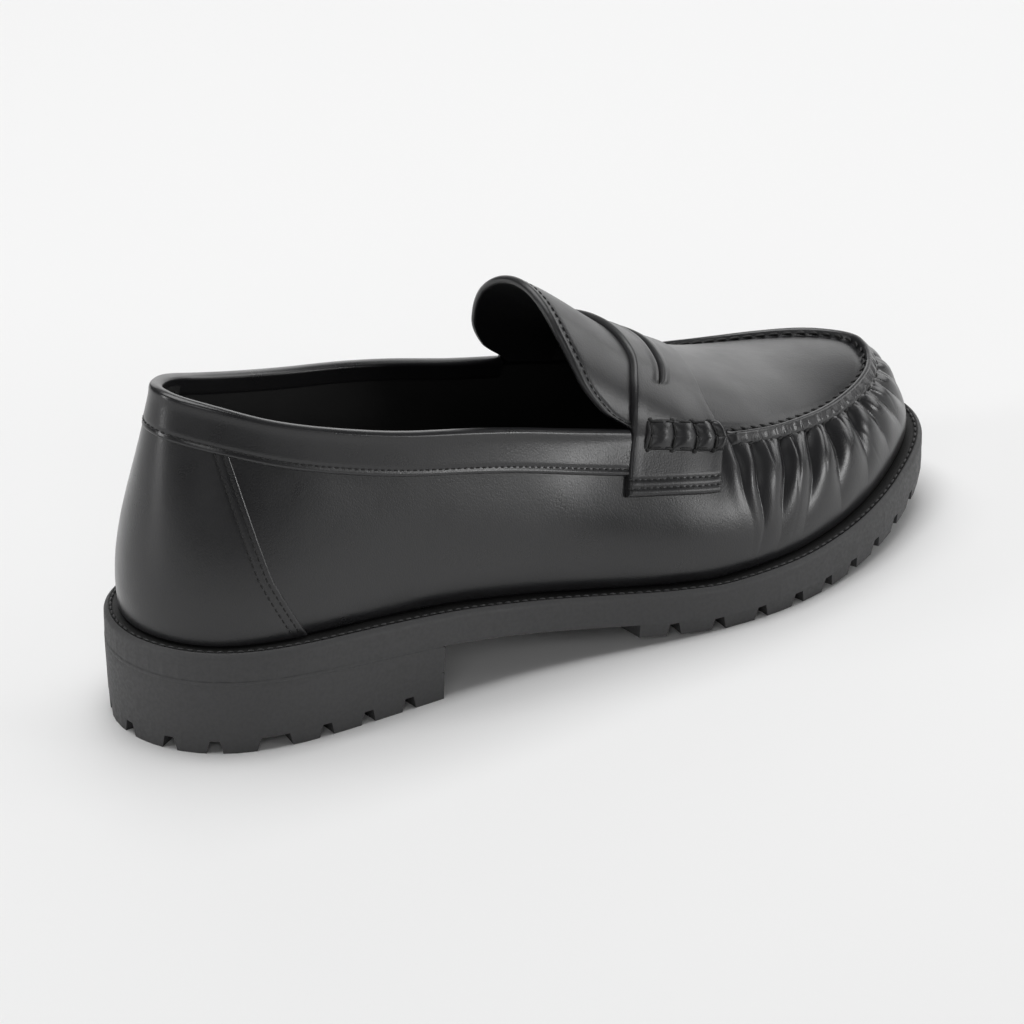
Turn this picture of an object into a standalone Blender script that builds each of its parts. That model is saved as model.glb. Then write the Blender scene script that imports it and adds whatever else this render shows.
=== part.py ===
# Chunky lug sole loafer, one right shoe, in metres, heel to toe along +X and the inner side along +Y.
# The shoe is drawn from the edge where the upper meets the welt (the foot line), the line of its top
# edge and apron seam (the top line), and the crown that spans from one side of the top line to the other.
import math

import bpy
import numpy as np

# Main sizes of the last, the form that a shoe is made on
last_length = 0.286
ball_half_width = 0.048
heel_rise = 0.0189
toe_spring = 0.0094
back_height = 0.0745
toe_height = 0.0288
crown_height = 0.031

# Thicknesses
upper_wall = 0.0022
tongue_wall = 0.002
strap_wall = 0.0016
band_wall = 0.0012
counter_wall = 0.001
welt_thickness = 0.003
insole_thickness = 0.0025
outsole_thickness = 0.007
part_gap = 0.0003
tread_depth = 0.0045

# Height of the welt's top above the floor under the ball: lugs, sole, gap and welt
ball_height = tread_depth + outsole_thickness + part_gap + welt_thickness

# Widths of the edges and overlays
welt_reach = 0.0055
outsole_lip = 0.0004
margin_width = 0.008
foot_line_round = 0.0012
band_height = 0.0123
band_inside_height = 0.004
roll_lift = 0.0019
slot_width = 0.0024
seam_drop = 0.0034
seam_shelf = 0.0016
seam_lift = 0.0022

# Heel and tread
top_piece_thickness = 0.009
heel_breast_place = last_length * 0.2955
tread_start = 22
notch_depth = tread_depth - part_gap
lug_draft = 0.0008
lug_pitch = 0.0144
lug_length = 0.0125
notch_floor_width = 0.005
notch_top_width = 0.003
channel_width = 0.004
bar_half_width = ball_half_width * 0.48
cutter_overrun = 0.001
cutter_reach = 0.003
channel_overlap = 0.0006
heel_draft = 0.0006

# Length of one row of the table near the strap
row_length = last_length * 0.10

# Stations along each side: three from one row of the table to the next
stations_per_row = 3

# The last, row by row from heel to toe. Columns with "along" are shares of the length, those named for a
# side are shares of the ball half width, "of back" and "of toe" are shares of the two heights above the
# welt, "belly", "brow" and "drop" shape the wall as shares of its height, "crown" is a share of the crown
# height, "arch" says how square the crown is, and "reach" is a share of the welt reach.
COLUMNS = (
    "along", "lateral", "medial", "top_along", "top_lateral", "top_medial",
    "of_back", "of_toe", "belly", "brow", "drop", "crown", "arch", "reach",
)
LAST_ROWS = (
    ("heel tip", 0.003, 0.00, 0.00, 0.038, 0.00, 0.00, 1.00, 0.00, 0.05, 0.06, 0.30, 0.00, 1.2, 0.95),
    ("heel round", 0.013, 0.26, 0.26, 0.046, 0.14, 0.14, 0.99, 0.00, 0.05, 0.06, 0.30, 0.00, 1.2, 0.97),
    ("heel corner", 0.042, 0.48, 0.48, 0.075, 0.30, 0.30, 0.955, 0.00, 0.06, 0.06, 0.30, 0.00, 1.2, 1.0),
    ("heel side", 0.096, 0.62, 0.62, 0.121, 0.43, 0.43, 0.890, 0.00, 0.07, 0.05, 0.30, 0.00, 1.2, 1.1),
    ("heel front", 0.180, 0.675, 0.66, 0.197, 0.535, 0.535, 0.81, 0.00, 0.09, 0.04, 0.30, 0.10, 1.2, 1.15),
    ("heel breast", 0.280, 0.69, 0.61, 0.285, 0.61, 0.61, 0.75, 0.00, 0.12, 0.04, 0.30, 0.80, 1.2, 1.15),
    ("waist", 0.390, 0.73, 0.58, 0.388, 0.645, 0.64, 0.715, 0.00, 0.15, 0.05, 0.30, 1.17, 1.2, 1.05),
    ("instep", 0.500, 0.84, 0.67, 0.493, 0.67, 0.655, 0.665, 0.00, 0.16, 0.08, 0.30, 1.27, 1.2, 1.0),
    ("strap front", 0.600, 0.965, 0.83, 0.590, 0.73, 0.69, 0.00, 1.60, 0.16, 0.12, 0.28, 0.83, 1.3, 1.0),
    ("ball", 0.700, 1.010, 0.96, 0.688, 0.76, 0.73, 0.00, 1.38, 0.15, 0.16, 0.25, 0.51, 1.5, 1.0),
    ("vamp", 0.790, 0.920, 0.97, 0.775, 0.70, 0.715, 0.00, 1.21, 0.14, 0.19, 0.22, 0.30, 1.8, 1.0),
    ("toe side", 0.870, 0.745, 0.86, 0.853, 0.56, 0.61, 0.00, 1.08, 0.13, 0.21, 0.20, 0.16, 2.0, 1.0),
    ("toe corner", 0.935, 0.515, 0.65, 0.913, 0.37, 0.415, 0.00, 1.02, 0.12, 0.22, 0.18, 0.08, 2.0, 1.0),
    ("toe round", 0.982, 0.265, 0.37, 0.941, 0.18, 0.22, 0.00, 1.00, 0.12, 0.23, 0.18, 0.03, 2.0, 1.0),
    ("toe tip", 1.000, 0.05, 0.05, 0.952, 0.02, 0.02, 0.00, 1.00, 0.12, 0.23, 0.18, 0.00, 2.0, 1.0),
)

# Height of the welt's top above the floor: share of the length, share of heel rise, share of toe spring
WELT_PROFILE = (
    (-0.10, 1.02, 0.00),
    (0.00, 1.00, 0.00),
    (0.10, 0.95, 0.00),
    (0.20, 0.86, 0.00),
    (0.30, 0.715, 0.00),
    (0.40, 0.49, 0.00),
    (0.50, 0.25, 0.00),
    (0.58, 0.08, 0.00),
    (0.64, 0.00, 0.00),
    (0.73, 0.00, 0.00),
    (0.80, 0.00, 0.10),
    (0.88, 0.00, 0.38),
    (0.94, 0.00, 0.66),
    (1.00, 0.00, 1.00),
    (1.06, 0.00, 1.36),
)

# Where the strap begins and ends: share of the way up the crown, rear station, front station, in rows.
# The last row repeats the one before the middle, so that the edges run level over the middle.
STRAP_ROWS = (
    (0.00, 7.62, 8.82),
    (0.17, 7.66, 8.77),
    (0.38, 7.78, 8.74),
    (0.67, 8.00, 8.86),
    (1.00, 8.08, 9.04),
    (1.33, 8.00, 8.86),
)
tab_foot_share = 0.61
tab_rear_lean = 0.24
tab_front_lean = 0.30

# The tongue's free edge: share of the way up the crown, station in rows, level over the middle
TONGUE_EDGE = (
    (0.00, 7.68),
    (0.07, 7.60),
    (0.17, 7.30),
    (0.33, 7.09),
    (0.60, 7.00),
    (1.00, 7.02),
    (1.40, 7.00),
)
throat_station = 25

# The strap's length-wise lines as shares of its width, and how plump the roll is on each
STRAP_LINES = (
    (0.00, 0.00),
    (0.09, 0.10),
    (0.16, 0.25),
    (0.29, 1.00),
    (0.41, 0.35),
    (0.53, 1.00),
    (0.65, 0.35),
    (0.76, 1.00),
    (0.87, 0.25),
    (0.94, 0.10),
    (1.00, 0.00),
)
slot_line = 4
slot_start_turn = 32.0
slot_lean_turn = 6.0
slot_middle_share = 0.45
slot_end_share = 0.31

# Rungs of the crown in degrees from the outer side over to the inner side
CROWN_TURNS = (0.0, 2.0, 6.0, 15.0, 30.0, 45.0, 60.0, 75.0, 90.0,
               105.0, 120.0, 135.0, 150.0, 165.0, 174.0, 178.0, 180.0)
APRON_TURNS = (0.0, 6.0, 15.0, 30.0, 45.0, 60.0, 75.0, 90.0,
               105.0, 120.0, 135.0, 150.0, 165.0, 174.0, 180.0)
WALL_SHARES = (0.03, 0.13, 0.26, 0.40, 0.53, 0.66, 0.78, 0.90, 1.00)

# The counter's slanted front edge, in rows, at the foot line and at the collar band
counter_foot_station = 3.50
counter_top_station = 2.20

# Notches of the forepart, from the rear of the tread to the toe, in lug pitches
TREAD_NOTCHES = (0.80, 1.87, 2.95, 3.98, 4.92, 5.82, 6.76, 7.72, 8.70, 9.68)

# Notches of the heel, from the breast to the middle of the back: place in lug pitches, width share
HEEL_NOTCHES = (
    (0.88, 1.0),
    (1.90, 1.0),
    (2.92, 1.0),
    (4.12, 2.2),
    (5.44, 1.0),
    (6.46, 1.0),
)


def table_value(rows, column, share):
    """Reads a smooth value from a table; a level stretch of the table stays exactly level."""
    share = np.asarray(share, float)
    places = np.array([row[0] for row in rows])
    values = np.array([row[column] for row in rows])
    steps = np.diff(places)
    rates = np.diff(values) / steps
    slopes = np.empty_like(values)
    slopes[0] = rates[0]
    slopes[-1] = rates[-1]
    for i in range(1, len(rows) - 1):
        if rates[i - 1] * rates[i] <= 0.0:
            slopes[i] = 0.0
        else:
            slopes[i] = 2.0 * rates[i - 1] * rates[i] / (rates[i - 1] + rates[i])
    i = np.clip(np.searchsorted(places, share, side="right") - 1, 0, len(rows) - 2)
    t = (share - places[i]) / steps[i]
    start = (2 * t**3 - 3 * t**2 + 1) * values[i] + (t**3 - 2 * t**2 + t) * steps[i] * slopes[i]
    end = (3 * t**2 - 2 * t**3) * values[i + 1] + (t**3 - t**2) * steps[i] * slopes[i + 1]
    return start + end


def welt_level(x):
    """Height of the welt's top above the floor at a place along the last."""
    share = np.asarray(x, float) / last_length
    rise = heel_rise * table_value(WELT_PROFILE, 1, share)
    spring = toe_spring * table_value(WELT_PROFILE, 2, share)
    return ball_height + rise + spring


def last_row_values(row, side):
    """One row of the table as lengths: foot line, top line, then the shape shares."""
    value = dict(zip(COLUMNS, row[1:]))
    y = value["medial"] * ball_half_width
    top_y = value["top_medial"] * ball_half_width
    if side < 0:
        y = -value["lateral"] * ball_half_width
        top_y = -value["top_lateral"] * ball_half_width
    rise = value["of_back"] * back_height + value["of_toe"] * toe_height
    place = [value["along"] * last_length, y, value["top_along"] * last_length, top_y, rise]
    return place + [value[name] for name in COLUMNS[8:]]


def closed_spline(points):
    """A closed curve through the rows, smooth in direction and bend, run by its foot line's length."""
    count = len(points)
    gaps = np.linalg.norm(np.roll(points[:, :2], -1, 0) - points[:, :2], axis=1)
    knots = np.concatenate([[0.0], np.cumsum(gaps)])
    system = np.zeros((count, count))
    target = np.zeros_like(points)
    for i in range(count):
        before = gaps[i - 1]
        after = gaps[i]
        system[i, i - 1] += before
        system[i, i] += 2 * (before + after)
        system[i, (i + 1) % count] += after
        change = (points[(i + 1) % count] - points[i]) / after - (points[i] - points[i - 1]) / before
        target[i] = 6 * change
    bends = np.linalg.solve(system, target)

    def curve(run):
        run = np.mod(run, knots[-1])
        i = np.clip(np.searchsorted(knots, run, side="right") - 1, 0, count - 1)
        j = (i + 1) % count
        gap = gaps[i][:, None]
        ahead = (knots[i + 1] - run)[:, None]
        behind = (run - knots[i])[:, None]
        bent = (bends[i] * ahead**3 + bends[j] * behind**3) / (6 * gap)
        near = (points[i] / gap - bends[i] * gap / 6) * ahead
        far = (points[j] / gap - bends[j] * gap / 6) * behind
        return bent + near + far

    return curve, knots


lateral_rows = [last_row_values(row, -1) for row in LAST_ROWS]
lateral_rows[-1] = last_row_values(LAST_ROWS[-1], 1)
medial_rows = [last_row_values(row, 1) for row in reversed(LAST_ROWS[1:-1])]
last_curve, last_knots = closed_spline(np.array(lateral_rows + medial_rows))
last_row = len(LAST_ROWS) - 1
station_count = last_row * stations_per_row


def run_at(station, side):
    """Place on the closed curve of a station, counted in rows from the heel, on one side."""
    station = np.asarray(station, float)
    row = np.clip(np.floor(station).astype(int), 0, last_row - 1)
    part = station - row
    lateral = last_knots[row] + (last_knots[row + 1] - last_knots[row]) * part
    start = last_knots[2 * last_row - row]
    end = last_knots[2 * last_row - row - 1]
    medial = start + (end - start) * part
    return np.where(np.asarray(side) < 0, lateral, medial)


def last_ring(run):
    """Shape values, foot point, top point and outward direction at places on the closed curve."""
    run = np.atleast_1d(np.asarray(run, float))
    values = last_curve(run)
    step = 0.0005
    along = last_curve(run + step)[:, :2] - last_curve(run - step)[:, :2]
    along /= np.linalg.norm(along, axis=1)[:, None]
    out = np.stack([along[:, 1], -along[:, 0], np.zeros(len(run))], 1)
    foot = np.stack([values[:, 0], values[:, 1], welt_level(values[:, 0]) + part_gap], 1)
    top = np.stack([values[:, 2], values[:, 3], welt_level(values[:, 2]) + values[:, 4]], 1)
    return values, foot, top, out


def wall_point(run, share):
    """Point on the outside of the upper's wall, from the foot line (0) up to the top line (1)."""
    values, foot, top, out = last_ring(run)
    share = np.broadcast_to(np.asarray(share, float), (len(foot),))[:, None]
    height = (top[:, 2] - foot[:, 2])[:, None]
    up = np.array([0.0, 0.0, 1.0])
    low = foot + out * values[:, 5:6] * height + up * 0.30 * height
    high = top + out * values[:, 6:7] * height - up * values[:, 7:8] * height
    rest = 1 - share
    return foot * rest**3 + 3 * low * share * rest**2 + 3 * high * share**2 * rest + top * share**3


def crown_point(station, turn):
    """Point on the crown: turn runs in degrees from the outer top line over to the inner one."""
    station = np.atleast_1d(np.asarray(station, float))
    turn = np.radians(np.clip(np.broadcast_to(np.asarray(turn, float), station.shape), 0.0, 180.0))
    turn = turn[:, None]
    outer_values, _, outer, _ = last_ring(run_at(station, -1))
    inner_values, _, inner, _ = last_ring(run_at(station, 1))
    lift = crown_height * outer_values[:, 8:9]
    arch = np.sin(turn) ** outer_values[:, 9:10]
    middle = (outer + inner) / 2
    half = (inner - outer) / 2
    return middle - half * np.cos(turn) + np.array([0.0, 0.0, 1.0]) * lift * arch


def unit(vectors):
    return vectors / np.linalg.norm(vectors, axis=-1, keepdims=True)


def wall_frame(run, share):
    """Wall point with its outward direction and its direction up the wall."""
    run = np.atleast_1d(np.asarray(run, float))
    share = np.broadcast_to(np.asarray(share, float), run.shape)
    step = 0.0004
    along = wall_point(run + step, share) - wall_point(run - step, share)
    above = wall_point(run, np.minimum(share + 0.01, 1.0)) - wall_point(run, share - 0.01)
    out = unit(np.cross(along, above))
    return wall_point(run, share), out, unit(above)


def crown_out(station, turn):
    """Outward direction of the crown."""
    station = np.atleast_1d(np.asarray(station, float))
    turn = np.broadcast_to(np.asarray(turn, float), station.shape)
    along = crown_point(station + 0.03, turn) - crown_point(station - 0.03, turn)
    low = np.clip(turn - 2.0, 0.0, 180.0)
    high = np.clip(turn + 2.0, 0.0, 180.0)
    across = crown_point(station, high) - crown_point(station, low)
    return unit(np.cross(along, across))


def share_below_top(run, depth):
    """Share of the wall that lies a given depth below its top."""
    run = np.atleast_1d(np.asarray(run, float))
    low = np.full(len(run), 0.3)
    high = np.ones(len(run))
    wanted = wall_point(run, 1.0)[:, 2] - depth
    for _ in range(30):
        middle = (low + high) / 2
        below = wall_point(run, middle)[:, 2] < wanted
        low = np.where(below, middle, low)
        high = np.where(below, high, middle)
    return (low + high) / 2


def crown_share(turn):
    """Share of the way up the crown, the same from both sides."""
    turn = np.asarray(turn, float)
    return np.minimum(turn, 180.0 - turn) / 90.0


# The world frame: the middle of the sole's outline is over the origin and the floor is at Z = 0
whole_ring = np.arange(2 * station_count)
ring_stations = np.where(whole_ring <= station_count, whole_ring, 2 * station_count - whole_ring)
ring_stations = ring_stations / stations_per_row
ring_sides = np.where(whole_ring <= station_count, -1, 1)
ring_runs = run_at(ring_stations, ring_sides)


def outline(runs, offset, lift, lip=0.0):
    """Points beside the foot line: offset as a length inward (below 0) or the welt's own reach."""
    values, foot, _, out = last_ring(runs)
    reach = values[:, 10:11] * welt_reach - lip if offset is None else offset
    points = foot + out * reach
    points[:, 2] = welt_level(points[:, 0]) + lift
    return points


sole_edge = outline(ring_runs, None, 0.0)
world_shift = np.array([
    -(sole_edge[:, 0].min() + sole_edge[:, 0].max()) / 2,
    -(sole_edge[:, 1].min() + sole_edge[:, 1].max()) / 2,
    0.0,
])


# Start from an empty scene
for old in list(bpy.data.objects):
    bpy.data.objects.remove(old, do_unlink=True)
for old_mesh in list(bpy.data.meshes):
    bpy.data.meshes.remove(old_mesh)
shoe_parts = bpy.data.collections.new("chunky_lug_sole_loafer")
bpy.context.scene.collection.children.link(shoe_parts)
shoe_cutters = bpy.data.collections.new("chunky_lug_sole_loafer_cutters")
bpy.context.scene.collection.children.link(shoe_cutters)


def finish_material(name, colour, roughness, coat=0.0):
    material = bpy.data.materials.new(name)
    material.use_nodes = True
    shader = material.node_tree.nodes["Principled BSDF"]
    shader.inputs["Base Color"].default_value = (*colour, 1.0)
    shader.inputs["Roughness"].default_value = roughness
    shader.inputs["Metallic"].default_value = 0.0
    shader.inputs["Coat Weight"].default_value = coat
    material.diffuse_color = (*colour, 1.0)
    return material


def add_object(name, points, faces, material, cutter=False):
    mesh = bpy.data.meshes.new(name)
    placed = np.asarray(points) + world_shift
    mesh.from_pydata([tuple(float(v) for v in point) for point in placed], [], faces)
    mesh.validate()
    mesh.update()
    made = bpy.data.objects.new(name, mesh)
    if cutter:
        shoe_cutters.objects.link(made)
        made.hide_render = True
        made.display_type = "WIRE"
        return made
    shoe_parts.objects.link(made)
    mesh.materials.append(material)
    mesh.shade_smooth()
    mesh.set_sharp_from_angle(angle=math.radians(35))
    return made


def add_wall(made, thickness, offset, group=""):
    """Turns an open surface into a wall; offset 1 grows it outward and -1 inward."""
    wall = made.modifiers.new("wall", "SOLIDIFY")
    wall.thickness = thickness
    wall.offset = offset
    wall.use_even_offset = True
    wall.use_quality_normals = True
    wall.use_rim = True
    if group:
        wall.vertex_group = group
    return wall


def cut_with(made, cutter):
    cut = made.modifiers.new("cut " + cutter.name, "BOOLEAN")
    cut.operation = "DIFFERENCE"
    cut.solver = "EXACT"
    cut.object = cutter
    return cut


def grid_faces(rows, columns, close_columns=False, first=0):
    """Quads of a grid of points stored row by row."""
    faces = []
    wide = columns if close_columns else columns - 1
    for i in range(rows - 1):
        for j in range(wide):
            k = (j + 1) % columns
            a = first + i * columns
            b = first + (i + 1) * columns
            faces.append((a + j, a + k, b + k, b + j))
    return faces


# Materials
black_leather = (0.012, 0.012, 0.013)
upper_finish = finish_material("upper_black_leather", black_leather, 0.34, 0.25)
tongue_finish = finish_material("tongue_black_leather", black_leather, 0.36, 0.25)
strap_finish = finish_material("strap_black_leather", black_leather, 0.32, 0.25)
band_finish = finish_material("collar_black_leather", black_leather, 0.33, 0.25)
seam_finish = finish_material("seam_black_leather", black_leather, 0.36, 0.2)
counter_finish = finish_material("counter_black_leather", black_leather, 0.33, 0.25)
welt_finish = finish_material("welt_black_leather", (0.010, 0.010, 0.010), 0.55)
insole_finish = finish_material("insole_black_leather", (0.014, 0.014, 0.014), 0.6)
outsole_finish = finish_material("outsole_black_rubber", (0.045, 0.045, 0.047), 0.72)
heel_finish = finish_material("heel_black_rubber", (0.045, 0.045, 0.047), 0.72)
top_piece_finish = finish_material("top_piece_black_rubber", (0.043, 0.043, 0.045), 0.75)


def make_upper():
    """Wall, turned-in margin and apron as one open surface with a wall grown inward."""
    columns = len(ring_runs)
    points = []
    faces = []
    for inset in (margin_width, foot_line_round):
        points.extend(outline(ring_runs, -inset, part_gap))
    for share in WALL_SHARES:
        points.extend(wall_point(ring_runs, share))
    rows = 2 + len(WALL_SHARES)
    faces.extend(grid_faces(rows, columns, close_columns=True))
    top_first = (rows - 1) * columns
    rungs = []
    for step in range(throat_station, station_count):
        lateral = top_first + step
        medial = top_first + 2 * station_count - step
        inner = APRON_TURNS[1:-1]
        station = np.full(len(inner), step / stations_per_row)
        first = len(points)
        points.extend(crown_point(station, inner))
        rungs.append([lateral] + list(range(first, first + len(inner))) + [medial])
    for low, high in zip(rungs[:-1], rungs[1:]):
        for k in range(len(low) - 1):
            faces.append((low[k], high[k], high[k + 1], low[k + 1]))
    tip = top_first + station_count
    for k in range(len(rungs[-1]) - 1):
        faces.append((rungs[-1][k], tip, rungs[-1][k + 1]))
    made = add_object("upper", points, faces, upper_finish)
    add_wall(made, upper_wall, -1.0)
    return made


def make_tongue():
    turns = np.array(CROWN_TURNS[1:-1])
    front = throat_station / stations_per_row - part_gap / (ball_half_width * 0.58)
    points = []
    for turn in turns:
        rear = float(table_value(TONGUE_EDGE, 1, crown_share(turn)))
        stations = rear + (front - rear) * np.linspace(0.0, 1.0, 5)
        points.extend(crown_point(stations, turn))
    faces = grid_faces(len(turns), 5)
    made = add_object("tongue", points, faces, tongue_finish)
    add_wall(made, tongue_wall, -1.0)
    return made


def strap_lines(middle_share):
    """Shares of the strap's width at which its lines run, with the slot's line moved to its place."""
    shares = []
    home = STRAP_LINES[slot_line][0]
    for share, _ in STRAP_LINES:
        if share <= home:
            shares.append(share * middle_share / home)
        else:
            shares.append(1.0 - (1.0 - share) * (1.0 - middle_share) / (1.0 - home))
    return np.array(shares)


TAB_SHARES = (0.00, 0.25, 0.50, 0.68, 0.80, 0.91)
TAB_PLUMP = (0.0, 0.0, 0.0, 0.35, 1.0, 1.0)
CROWN_PLUMP = {0.0: 1.0, 2.0: 1.0, 6.0: 0.8, 15.0: 0.0}


def slot_swell(turn):
    """How far the slot is open at a turn over the crown, from 0 at its foot to 1 at the middle."""
    height = min(turn, 180.0 - turn)
    if height <= slot_start_turn:
        return 0.0
    return math.sin(math.radians((height - slot_start_turn) / (90.0 - slot_start_turn) * 90.0))


def make_strap():
    """Saddle strap over the crown with its two tabs, its slot and the roll stitched over each seam."""
    rows = []
    plumps = []
    line_count = len(STRAP_LINES)
    line_plump = np.array([line[1] for line in STRAP_LINES])
    home = strap_lines(STRAP_LINES[slot_line][0])

    def tab_row(side, part):
        share = tab_foot_share + (1.0 - tab_foot_share) * part
        rear = STRAP_ROWS[0][1] - tab_rear_lean * (1.0 - part)
        front = STRAP_ROWS[0][2] - tab_front_lean * (1.0 - part)
        runs = run_at(rear + (front - rear) * home, side)
        point, out, _ = wall_frame(runs, share)
        return point + out * part_gap

    def crown_row(turn, opening):
        share = float(crown_share(turn))
        rear = float(table_value(STRAP_ROWS, 1, share))
        front = float(table_value(STRAP_ROWS, 2, share))
        slot_part = np.clip((share * 90.0 - slot_lean_turn) / (slot_start_turn - slot_lean_turn), 0.0, 1.0)
        middle = STRAP_LINES[slot_line][0] * (1 - slot_part) + slot_end_share * slot_part
        if share * 90.0 > slot_start_turn:
            middle = slot_end_share + (slot_middle_share - slot_end_share) * slot_swell(turn)
        shares = strap_lines(middle + opening)
        stations = rear + (front - rear) * shares
        out = crown_out(stations, turn)
        if turn < 1.0 or turn > 179.0:
            side = -1 if turn < 1.0 else 1
            near = 3.0 if turn < 1.0 else 177.0
            _, wall_out, _ = wall_frame(run_at(stations, side), 1.0)
            out = unit(crown_out(stations, near) + wall_out)
        return crown_point(stations, turn) + out * part_gap

    for part, plump in zip(TAB_SHARES, TAB_PLUMP):
        rows.append(tab_row(-1, part))
        plumps.append(plump)
    crown_first = len(rows)
    slot_rows = []
    for turn in CROWN_TURNS:
        plump = CROWN_PLUMP.get(min(turn, 180.0 - turn), 0.0)
        open_share = slot_swell(turn) * slot_width / row_length / 2
        if open_share > 0.0:
            slot_rows.append(len(rows))
        rows.append(crown_row(turn, -open_share))
        plumps.append(plump)
    for part, plump in reversed(list(zip(TAB_SHARES, TAB_PLUMP))):
        rows.append(tab_row(1, part))
        plumps.append(plump)

    points = []
    weights = []
    for row, plump in zip(rows, plumps):
        points.extend(row)
        weights.extend(strap_wall + roll_lift * plump * line_plump)
    far_edge = {}
    for index in slot_rows:
        turn = CROWN_TURNS[index - crown_first]
        open_share = slot_swell(turn) * slot_width / row_length / 2
        far_edge[index] = len(points)
        points.append(crown_row(turn, open_share)[slot_line])
        weights.append(strap_wall)
    faces = []
    for i in range(len(rows) - 1):
        for j in range(line_count - 1):
            corners = [(i, j), (i, j + 1), (i + 1, j + 1), (i + 1, j)]
            face = []
            for r, c in corners:
                if c == slot_line and j == slot_line and r in far_edge:
                    face.append(far_edge[r])
                else:
                    face.append(r * line_count + c)
            faces.append(tuple(face))
    made = add_object("saddle_strap", points, faces, strap_finish)
    group = made.vertex_groups.new(name="plump")
    thickest = max(weights)
    for index, weight in enumerate(weights):
        group.add([index], float(weight / thickest), "REPLACE")
    add_wall(made, thickest, 1.0, "plump")
    return made


def make_collar_band():
    """Binding along the top line from one tab round the heel to the other, folded over the edge."""
    end_step = 22
    side_steps = [step / stations_per_row for step in range(end_step, -1, -1)]
    end_gap = part_gap * 1.6 / row_length
    outer_parts = (0.0, 0.35, 0.70, 1.0)

    def column(side, station, at_end):
        points = []
        for part in outer_parts:
            place = station
            if at_end:
                run = run_at(station, side)
                share = float(share_below_top(run, band_height * (1 - part))[0])
                lean = (1.0 - share) / (1.0 - tab_foot_share)
                place = STRAP_ROWS[0][1] - tab_rear_lean * lean - end_gap
            run = run_at(place, side)
            share = share_below_top(run, band_height * (1 - part)) if part < 1.0 else 1.0
            point, out, above = wall_frame(run, share)
            points.append((point + out * part_gap)[0])
        points[-1] = points[-1] + above[0] * part_gap
        points.append((point - out * (upper_wall + part_gap) + above * part_gap)[0])
        share = share_below_top(run, band_inside_height)
        point, out, above = wall_frame(run, share)
        points.append((point - out * (upper_wall + part_gap))[0])
        return points

    grid = []
    grid.append(column(-1, side_steps[0], True))
    for station in side_steps[:-1]:
        grid.append(column(-1, station, False))
    grid.append(column(-1, 0.0, False))
    for station in reversed(side_steps[:-1]):
        grid.append(column(1, station, False))
    grid.append(column(1, side_steps[0], True))
    rows = len(grid)
    columns = len(grid[0])
    points = [point for line in grid for point in line]
    faces = grid_faces(rows, columns)
    made = add_object("collar_band", points, faces, band_finish)
    add_wall(made, band_wall, 1.0)
    return made


def make_counter():
    """Heel counter: an overlay round the back from the welt up to the collar band."""
    columns = 12
    rows = 8
    foot_share = 0.03
    grid = []
    places = [(-1, k / columns) for k in range(columns, 0, -1)]
    places += [(1, k / columns) for k in range(0, columns + 1)]
    for side, part in places:
        line = []
        for row in range(rows):
            up = row / (rows - 1)
            station = part * (counter_foot_station + (counter_top_station - counter_foot_station) * up)
            run = run_at(station, side)
            top = share_below_top(run, band_height + part_gap)
            share = foot_share + (top - foot_share) * up
            point, out, _ = wall_frame(run, share)
            line.append((point + out * part_gap)[0])
        grid.append(line)
    points = [point for line in grid for point in line]
    faces = grid_faces(len(grid), rows)
    made = add_object("heel_counter", points, faces, counter_finish)
    add_wall(made, counter_wall, 1.0)
    return made


def make_apron_seam():
    """Raised seam that joins the apron to the wall, from the strap round the toe and back."""
    start = STRAP_ROWS[0][2] + part_gap * 2 / row_length
    first_step = int(math.ceil(start * stations_per_row + 0.2))
    stations = [start] + [step / stations_per_row for step in range(first_step, station_count)]
    places = [(-1, station) for station in stations] + [(-1, float(last_row))]
    places += [(1, station) for station in reversed(stations)]
    sections = []
    for side, station in places:
        run = run_at(station, side)
        top, wall_out, _ = wall_frame(run, 1.0)
        low = wall_point(run, WALL_SHARES[-2])
        down = unit(low - top)[0]
        turn = APRON_TURNS[1]
        turn = turn if side < 0 else 180.0 - turn
        inner_station = min(station, last_row - 1.0 / stations_per_row)
        turn = 90.0 if station >= last_row else turn
        inward = unit(crown_point(inner_station, turn)[0] - top[0])
        wall_out = wall_out[0]
        wall_side = unit(wall_out - down * float(np.dot(wall_out, down)))
        along = np.cross(wall_side, down)
        shelf_side = unit(np.cross(inward, along))
        if shelf_side[2] < 0:
            shelf_side = -shelf_side
        corner = unit(wall_side + shelf_side)
        spread = part_gap / max(0.5, float(np.dot(corner, wall_side)))
        top = top[0]
        section = [
            top + down * seam_drop + wall_side * part_gap,
            top + corner * spread,
            top + inward * seam_shelf + shelf_side * part_gap,
            top + inward * seam_shelf * 0.95 + shelf_side * seam_lift * 0.75,
            top + corner * seam_lift,
            top + down * seam_drop * 0.5 + wall_side * seam_lift * 0.95,
            top + down * seam_drop + wall_side * seam_lift * 0.5,
        ]
        sections.append(section)
    rows = len(sections)
    columns = len(sections[0])
    points = [point for section in sections for point in section]
    faces = grid_faces(rows, columns, close_columns=True)
    faces.append(tuple(range(columns - 1, -1, -1)))
    last = (rows - 1) * columns
    faces.append(tuple(range(last, last + columns)))
    return add_object("apron_seam", points, faces, seam_finish)


def stacked_loops(loops, closed_faces_low, closed_faces_high):
    """A solid from loops of equal length stacked on each other, with its two ends already drawn."""
    columns = len(loops[0])
    points = [point for loop in loops for point in loop]
    faces = grid_faces(len(loops), columns, close_columns=True)
    faces.extend(closed_faces_low)
    faces.extend(closed_faces_high)
    return points, faces


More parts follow.
